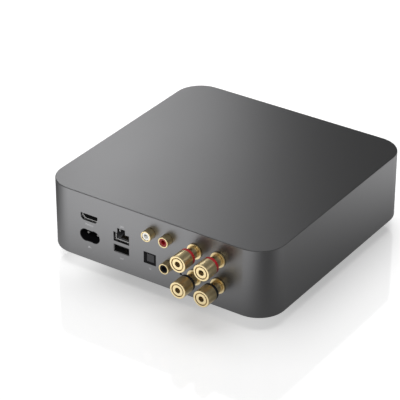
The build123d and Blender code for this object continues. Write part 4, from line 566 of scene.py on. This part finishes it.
def beads_object(name, beads):
    """One object made of several beads. Its points are placed in metres, in the shared frame."""
    counts = [len(points) for points in beads]
    firsts = np.concatenate([[0], np.cumsum(counts)[:-1]]) * AROUND
    points = np.concatenate([points.reshape(-1, 3) for points in beads]) * MM
    faces = np.concatenate([bead_faces(rows, first) for rows, first in zip(counts, firsts)])
    mesh = bpy.data.meshes.new(name)
    mesh.from_pydata(points.tolist(), [], faces.tolist())
    mesh.validate()
    tool = bmesh.new()
    tool.from_mesh(mesh)
    bmesh.ops.remove_doubles(tool, verts=tool.verts, dist=MERGE_DISTANCE)
    bmesh.ops.recalc_face_normals(tool, faces=tool.faces)
    tool.to_mesh(mesh)
    tool.free()
    mesh.shade_smooth()
    thing = bpy.data.objects.new(name, mesh)
    bpy.context.collection.objects.link(thing)
    return thing


# %% [markdown]
# ### Numerals
#
# Each place beside a socket gets a short plain number. A figure of it is drawn as one line of arcs
# and corners on a small grid, u to the right and v up, as seen from behind the amplifier. Seen from
# there, right is -X. Even steps along the line round off its corners a little, the way ink does.

# %% Draw the numerals
NUMERAL_HEIGHT = 1.2
NUMERAL_PITCH = 1.05
INK_STEP = 0.06
INK_HALF_WIDTH = 0.09
INK_HALF_HEIGHT = 0.02
ARC_POINTS = 24
PANEL_Y = 95.0


def arc(centre_u, centre_v, radius, start, stop):
    """Points of a circle's arc from angle start to stop in degrees, for a numeral one unit high."""
    angle = np.radians(np.linspace(start, stop, ARC_POINTS))
    return np.stack([centre_u + radius * np.cos(angle), centre_v + radius * np.sin(angle)], axis=1)


OUTLINES = {
    0: np.concatenate(
        [arc(0.0, 0.73, 0.27, 0, 180), arc(0.0, 0.27, 0.27, 180, 360), [(0.27, 0.73)]]
    ),
    1: np.array([(-0.18, 0.8), (0.05, 1.0), (0.05, 0.0)]),
    2: np.concatenate([arc(0.0, 0.73, 0.26, 170, -40), [(-0.26, 0.0), (0.28, 0.0)]]),
    3: np.concatenate([arc(0.0, 0.75, 0.25, 150, -80), arc(0.0, 0.25, 0.25, 80, -150)]),
    4: np.array([(0.14, 0.0), (0.14, 1.0), (-0.3, 0.3), (0.34, 0.3)]),
    5: np.concatenate(
        [[(0.25, 1.0), (-0.2, 1.0), (-0.24, 0.55)], arc(0.0, 0.32, 0.3, 125, -150)]
    ),
}


def numeral(figure, x, z):
    """The bead of one numeral whose middle is at (x, z) on the rear panel."""
    corners = OUTLINES[figure] * NUMERAL_HEIGHT
    steps = np.linalg.norm(np.diff(corners, axis=0), axis=1)
    along = np.concatenate([[0.0], np.cumsum(steps)])
    even = np.linspace(0.0, along[-1], int(along[-1] / INK_STEP))
    u = np.interp(even, along, corners[:, 0])
    v = np.interp(even, along, corners[:, 1])
    path = np.stack([x - u, np.full_like(u, PANEL_Y), z + v - NUMERAL_HEIGHT / 2], axis=1)
    return bead(path, (0.0, 1.0, 0.0), INK_HALF_WIDTH, INK_HALF_HEIGHT, INK_HALF_WIDTH)


def number(figures, x, z):
    """The beads of a whole number whose middle is at (x, z). Later figures lie towards -X."""
    shifts = (np.arange(len(figures)) - (len(figures) - 1) / 2) * NUMERAL_PITCH
    return [numeral(int(figure), x - shift, z) for figure, shift in zip(figures, shifts)]


NUMBERS = {
    "1000000": (55.1, 38.7),
    "200": (26.2, 46.7),
    "300": (55.2, 20.3),
    "400": (26.9, 20.5),
    "50": (2.5, 20.5),
}
figures = []
for digits, place in NUMBERS.items():
    figures += number(digits, *place)
numerals = beads_object("panel_numerals", figures)
ink = make_finish("numeral_ink", (0.42, 0.42, 0.43), 0.5, grain_size=0.2, cloud_size=2.0)
numerals.data.materials.append(ink)
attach(numerals, "root")
print("numerals:", len(figures), "vertices:", len(numerals.data.vertices))

# %% [markdown]
# ### Contact strips
#
# The tongue of the data socket carries four wide strips on its lower side, and the tongue of the
# video socket carries a row of fine ones on both sides. Each strip lies on the tongue, and its front
# end bends down into it. The places of the tongues are read from the loaded pieces themselves.

# %% Make the contact strips
STRIP_RISE = 0.05
STRIP_POINTS = 40
BEND_LENGTH = 0.5
BEND_DROP = 0.2
BEND_SHARE = 0.99


def strip(x, front, back, face, outward, half_width):
    """A strip along the tongue at height face, whose front end curves in by a quarter of a circle.

    depth = BEND_DROP * (1 - sqrt(1 - BEND_SHARE * s ** 2)), where s goes from 0 at BEND_LENGTH behind
    the front end to 1 at the end itself. BEND_SHARE just under 1 keeps the last step from being
    upright.
    """
    y = np.linspace(front, back, STRIP_POINTS)
    s = np.clip(1.0 - (front - y) / BEND_LENGTH, 0.0, 1.0)
    z = face - outward * BEND_DROP * (1.0 - np.sqrt(1.0 - s**2 * BEND_SHARE))
    path = np.stack([np.full_like(y, x), y, z], axis=1)
    return bead(path, (0.0, 0.0, 1.0), half_width, STRIP_RISE, half_width)


def tongue_box(node):
    """The lowest and highest corner of a CAD piece, in millimetres."""
    low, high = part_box(node)
    return np.array(low) / MM, np.array(high) / MM


STRIP_SETBACK = 0.6
STRIP_LENGTH = 6.0
DATA_SHIFTS = np.array([-3.5, -1.0, 1.0, 3.5])
DATA_HALF_WIDTH = 0.5
VIDEO_SHIFTS = np.arange(-4.5, 4.6, 1.0)
VIDEO_HALF_WIDTH = 0.22
data_low, data_high = tongue_box("data_socket_tongue")
video_low, video_high = tongue_box("video_socket_tongue")
data_x = (data_low[0] + data_high[0]) / 2 + DATA_SHIFTS
upper_x = (video_low[0] + video_high[0]) / 2 + VIDEO_SHIFTS
lower_x = upper_x[:-1] + 0.5
data_front = data_high[1] - STRIP_SETBACK
video_front = video_high[1] - STRIP_SETBACK
ROWS = (
    (data_x, data_front, data_low[2], -1.0, DATA_HALF_WIDTH),
    (upper_x, video_front, video_high[2], 1.0, VIDEO_HALF_WIDTH),
    (lower_x, video_front, video_low[2], -1.0, VIDEO_HALF_WIDTH),
)
strips = []
for places, front, face, outward, half_width in ROWS:
    strips += [strip(x, front, front - STRIP_LENGTH, face, outward, half_width) for x in places]
contacts = beads_object("tongue_contacts", strips)
contacts.data.materials.append(finishes["gold_plate"])
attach(contacts, "root")
print("contact strips:", len(strips), "vertices:", len(contacts.data.vertices))

# %% [markdown]
# ## The camera
#
# The photograph was taken from behind and above with a long lens, about a metre and a half away.
# The camera's place and direction were worked out from the straight edges of the case, whose size
# is known. A camera in Blender looks along its own -Z with +Y up, so the three columns of its
# matrix are its right, its up and the opposite of where it looks.

# %% Place the camera
CAMERA_PLACE = Vector((-0.689127, 1.055687, 0.757529))
CAMERA_LOOK = Vector((0.48539, -0.71786, -0.49906))
CAMERA_UP = Vector((0.27994, -0.41316, 0.86656))
CAMERA_LENS = 179.49
SENSOR_WIDTH = 36.0

camera = bpy.data.objects.new("camera", bpy.data.cameras.new("camera"))
camera.data.lens = CAMERA_LENS
camera.data.sensor_width = SENSOR_WIDTH
camera_right = CAMERA_LOOK.cross(CAMERA_UP).normalized()
turn = Matrix((camera_right, CAMERA_UP.normalized(), -CAMERA_LOOK.normalized())).transposed()
camera.matrix_world = Matrix.Translation(CAMERA_PLACE) @ turn.to_4x4()
bpy.context.collection.objects.link(camera)
bpy.context.scene.camera = camera
print("camera distance in metres:", round(CAMERA_PLACE.length, 2))

# %% [markdown]
# ## The floor
#
# The amplifier stands on a white sheet of gloss acrylic, which mirrors its walls a little. The sheet
# is flat, so one coarse grid is enough: x and y run over the same even steps. It lies a tenth of a
# millimetre under the rubber foot, so that the two surfaces don't fall into one.

# %% Make the floor
FLOOR_REACH = 6.0
FLOOR_HEIGHT = -0.0001
FLOOR_LINES = 3


def flat_grid(name, reach, height):
    """Square sheet at one height: x and y run over the same even steps from -reach to reach."""
    steps = np.linspace(-reach, reach, FLOOR_LINES)
    x, y = np.meshgrid(steps, steps)
    points = np.stack([x, y, np.full_like(x, height)], axis=-1).reshape(-1, 3)
    row, column = np.meshgrid(np.arange(FLOOR_LINES - 1), np.arange(FLOOR_LINES - 1), indexing="ij")
    first = (row * FLOOR_LINES + column).ravel()
    beyond = first + FLOOR_LINES
    quads = np.stack([first, first + 1, beyond + 1, beyond], axis=1)
    mesh = bpy.data.meshes.new(name)
    mesh.from_pydata(points.tolist(), [], quads.tolist())
    sheet = bpy.data.objects.new(name, mesh)
    bpy.context.collection.objects.link(sheet)
    return sheet


floor = flat_grid("floor", FLOOR_REACH, FLOOR_HEIGHT)
print("floor faces:", len(floor.data.polygons))

# %% [markdown]
# ### What the metal sees of the floor
#
# The walls of the case are upright, so from above they mirror the floor, and their shading is a
# picture of how the floor is lit. In the photograph that light lies in pools: a bright one behind the
# amplifier, and a weaker one beside it. The camera itself sees an even white. So the floor's material
# has two halves. Camera rays get gloss white, with painted light under two corners of the case that
# stands for light creeping in there. All other rays get soft round pools of painted light, glowing
# from the floor itself, each of them a bell curve of the distance from its centre. Far away both
# halves grow lighter, so that the horizon melts into the white wall. From below the floor is clear,
# so that the foot can be seen.

# %% The floor's finish
POOL_SPREAD = 0.055
POOLS = (
    ((0.27, 0.27, 0.0), 0.6),
    ((0.18, 0.27, 0.0), 1.6),
    ((-0.09, 0.27, 0.0), 1.03),
    ((0.18, 0.18, 0.0), 0.32),
    ((0.09, 0.18, 0.0), 1.06),
    ((0.0, 0.18, 0.0), 0.7),
    ((-0.27, 0.0, 0.0), 0.7),
    ((-0.15, 0.05, 0.0), 0.1),
    ((-0.18, -0.09, 0.0), 0.28),
    ((-0.18, -0.18, 0.0), 0.8),
    ((-0.1, -0.25, 0.0), 0.6),
    ((0.12, -0.2, 0.0), 0.8),
    ((0.3, -0.1, 0.0), 0.5),
    ((0.2, -0.14, 0.0), 0.3),
)
# Painted light on the floor, seen by the camera under two corners of the case.
PAINTED_CORNER_LIGHT = (
    ((0.071, 0.087, 0.0), 0.34, 0.017),
    ((-0.074, 0.084, 0.0), 0.15, 0.023),
)
FLOOR_GLOW = 0.13
FAR_GLOW = 0.9
FAR_FROM = 0.35
FAR_TO = 1.1
OWN_WHITE = 0.42
FAR_WHITE = 1.0
WHITE_FROM = 0.45
WHITE_TO = 3.0


def add_pool(group, place, centre, strength, spread=POOL_SPREAD):
    """strength * e ** (-(distance from the centre / spread) ** 2 / 2)"""
    away = group.nodes.new("ShaderNodeVectorMath")
    away.operation = "DISTANCE"
    away.inputs[1].default_value = centre
    group.links.new(place, away.inputs[0])
    widths = add_math(group, "DIVIDE", away.outputs["Value"], spread)
    power = add_math(group, "MULTIPLY", add_math(group, "POWER", widths, 2.0), -0.5)
    return add_math(group, "MULTIPLY", add_math(group, "EXPONENT", power, 0.0), strength)


def add_fade(group, away, near_value, far_value, start, stop):
    """A value that goes smoothly from near_value at distance start to far_value at distance stop."""
    fade = group.nodes.new("ShaderNodeMapRange")
    fade.interpolation_type = "SMOOTHSTEP"
    fade.inputs["From Min"].default_value = start
    fade.inputs["From Max"].default_value = stop
    fade.inputs["To Min"].default_value = near_value
    fade.inputs["To Max"].default_value = far_value
    group.links.new(away, fade.inputs["Value"])
    return fade.outputs["Result"]


def make_floor_finish():
    """Gloss white with painted light under two corners for the camera, painted pools of light for
    every other ray, and clear from below.
    """
    material = bpy.data.materials.new("floor_acrylic")
    material.use_nodes = True
    tree = material.node_tree
    shader = tree.nodes["Principled BSDF"]
    shader.inputs["Base Color"].default_value = (0.8, 0.8, 0.8, 1.0)
    shader.inputs["Roughness"].default_value = 0.06
    shader.inputs["Emission Color"].default_value = (1.0, 1.0, 1.0, 1.0)
    shader.inputs["Specular IOR Level"].default_value = 0.3
    place = tree.nodes.new("ShaderNodeTexCoord").outputs["Object"]
    away = tree.nodes.new("ShaderNodeVectorMath")
    away.operation = "LENGTH"
    tree.links.new(place, away.inputs[0])
    own_white = add_fade(tree, away.outputs["Value"], OWN_WHITE, FAR_WHITE, WHITE_FROM, WHITE_TO)
    for centre, strength, spread in PAINTED_CORNER_LIGHT:
        own_white = add_math(tree, "ADD", own_white, add_pool(tree, place, centre, strength, spread))
    tree.links.new(own_white, shader.inputs["Emission Strength"])
    total = add_fade(tree, away.outputs["Value"], FLOOR_GLOW, FAR_GLOW, FAR_FROM, FAR_TO)
    for centre, strength in POOLS:
        total = add_math(tree, "ADD", total, add_pool(tree, place, centre, strength))
    glow = tree.nodes.new("ShaderNodeEmission")
    tree.links.new(total, glow.inputs["Strength"])
    path = tree.nodes.new("ShaderNodeLightPath")
    choice = tree.nodes.new("ShaderNodeMixShader")
    tree.links.new(path.outputs["Is Camera Ray"], choice.inputs["Fac"])
    tree.links.new(glow.outputs["Emission"], choice.inputs[1])
    tree.links.new(shader.outputs["BSDF"], choice.inputs[2])
    geometry = tree.nodes.new("ShaderNodeNewGeometry")
    one_sided = tree.nodes.new("ShaderNodeMixShader")
    tree.links.new(geometry.outputs["Backfacing"], one_sided.inputs["Fac"])
    tree.links.new(choice.outputs["Shader"], one_sided.inputs[1])
    tree.links.new(tree.nodes.new("ShaderNodeBsdfTransparent").outputs["BSDF"], one_sided.inputs[2])
    tree.links.new(one_sided.outputs["Shader"], tree.nodes["Material Output"].inputs["Surface"])
    return material


floor.data.materials.append(make_floor_finish())
print("pools of light:", len(POOLS) + len(PAINTED_CORNER_LIGHT))

# %% [markdown]
# ## The light
#
# Satin metal shows its surroundings, so a product like this is lit by large soft panels and very
# little else. Small panels hang round the case and make the roof fade from light to dark: the first
# six are for the camera's view, and the other four are for someone who walks round to the front. Two
# large panels light only the floor: one from above, for the soft shadow, and one far behind, which
# the gloss floor mirrors wherever the case isn't in the way. Light linking keeps the two sets apart.

# %% Light panels
PANEL_TARGET = Vector((0.0, 0.0, 0.03))


def add_panel(name, place, size, power):
    """A square area light at place that faces the middle of the amplifier. Power is in watts."""
    lamp = bpy.data.lights.new(name, "AREA")
    lamp.shape = "SQUARE"
    lamp.size = size
    lamp.energy = power
    panel = bpy.data.objects.new(name, lamp)
    facing = (PANEL_TARGET - Vector(place)).to_track_quat("-Z", "Y")
    panel.matrix_world = Matrix.Translation(place) @ facing.to_matrix().to_4x4()
    bpy.context.collection.objects.link(panel)
    return panel


def floor_group(name, state):
    """A collection for light linking that names the floor, to be lit or to be left out."""
    group = bpy.data.collections.new(name)
    group.objects.link(floor)
    group.collection_objects[0].light_linking.link_state = state
    return group


floor_alone = floor_group("floor_alone", "INCLUDE")
all_but_floor = floor_group("all_but_floor", "EXCLUDE")
OVERHEAD_SIZE = 1.5
BACKDROP_SIZE = 1.3
floor_panels = (
    add_panel("panel_overhead", (0.2, -0.2, 1.5), OVERHEAD_SIZE, 18.5),
    add_panel("panel_backdrop", (1.16, -1.72, 1.2), BACKDROP_SIZE, 9.5),
)
CASE_PANEL_SIZE = 0.16
CASE_PANELS = (
    ((0.55, -0.7, 0.42), 0.135),
    ((0.55, -0.5, 0.42), 0.09),
    ((0.4, -0.5, 0.42), 0.075),
    ((0.4, -0.3, 0.42), 0.12),
    ((0.25, -0.1, 0.42), 0.06),
    ((0.1, -0.1, 0.42), 0.05),
    ((-0.45, 0.55, 0.42), 0.15),
    ((-0.1, 0.6, 0.38), 0.15),
    ((0.4, 0.45, 0.42), 0.1),
    ((-0.5, -0.3, 0.42), 0.1),
)
case_panels = [
    add_panel(f"panel_case_{count}", place, CASE_PANEL_SIZE, power)
    for count, (place, power) in enumerate(CASE_PANELS)
]
for panel in floor_panels:
    panel.light_linking.receiver_collection = floor_alone
for panel in case_panels:
    panel.light_linking.receiver_collection = all_but_floor
print("panels:", len(floor_panels) + len(case_panels))

# %% [markdown]
# The coloured plastics need light of their own, because they scatter it instead of mirroring it. A
# panel on the camera's side gives them that. Glossy rays don't see it, so it leaves no mark on the
# satin case.

# %% Key light
KEY_PLACE = (-0.35, 1.15, 0.95)
KEY_SIZE = 0.8
KEY_POWER = 24.0

key_panel = add_panel("panel_key", KEY_PLACE, KEY_SIZE, KEY_POWER)
key_panel.visible_glossy = False
key_panel.light_linking.receiver_collection = all_but_floor
print("key light:", key_panel.data.energy, "W")

# %% [markdown]
# The studio's own dim grey fills what the panels leave dark. Seen directly, it is white, so that the
# horizon doesn't show when the camera is low.

# %% Studio walls
ROOM_GREY = 0.125

world = bpy.data.worlds.new("studio")
world.use_nodes = True
room = world.node_tree
seen = room.nodes["Background"]
seen.inputs["Color"].default_value = (1.0, 1.0, 1.0, 1.0)
dim = room.nodes.new("ShaderNodeBackground")
dim.inputs["Color"].default_value = (ROOM_GREY, ROOM_GREY, ROOM_GREY, 1.0)
room_path = room.nodes.new("ShaderNodeLightPath")
room_choice = room.nodes.new("ShaderNodeMixShader")
room.links.new(room_path.outputs["Is Camera Ray"], room_choice.inputs["Fac"])
room.links.new(dim.outputs["Background"], room_choice.inputs[1])
room.links.new(seen.outputs["Background"], room_choice.inputs[2])
room.links.new(room_choice.outputs["Shader"], room.nodes["World Output"].inputs["Surface"])
bpy.context.scene.world = world
bpy.context.scene.view_settings.view_transform = "Standard"
print("room grey:", ROOM_GREY)
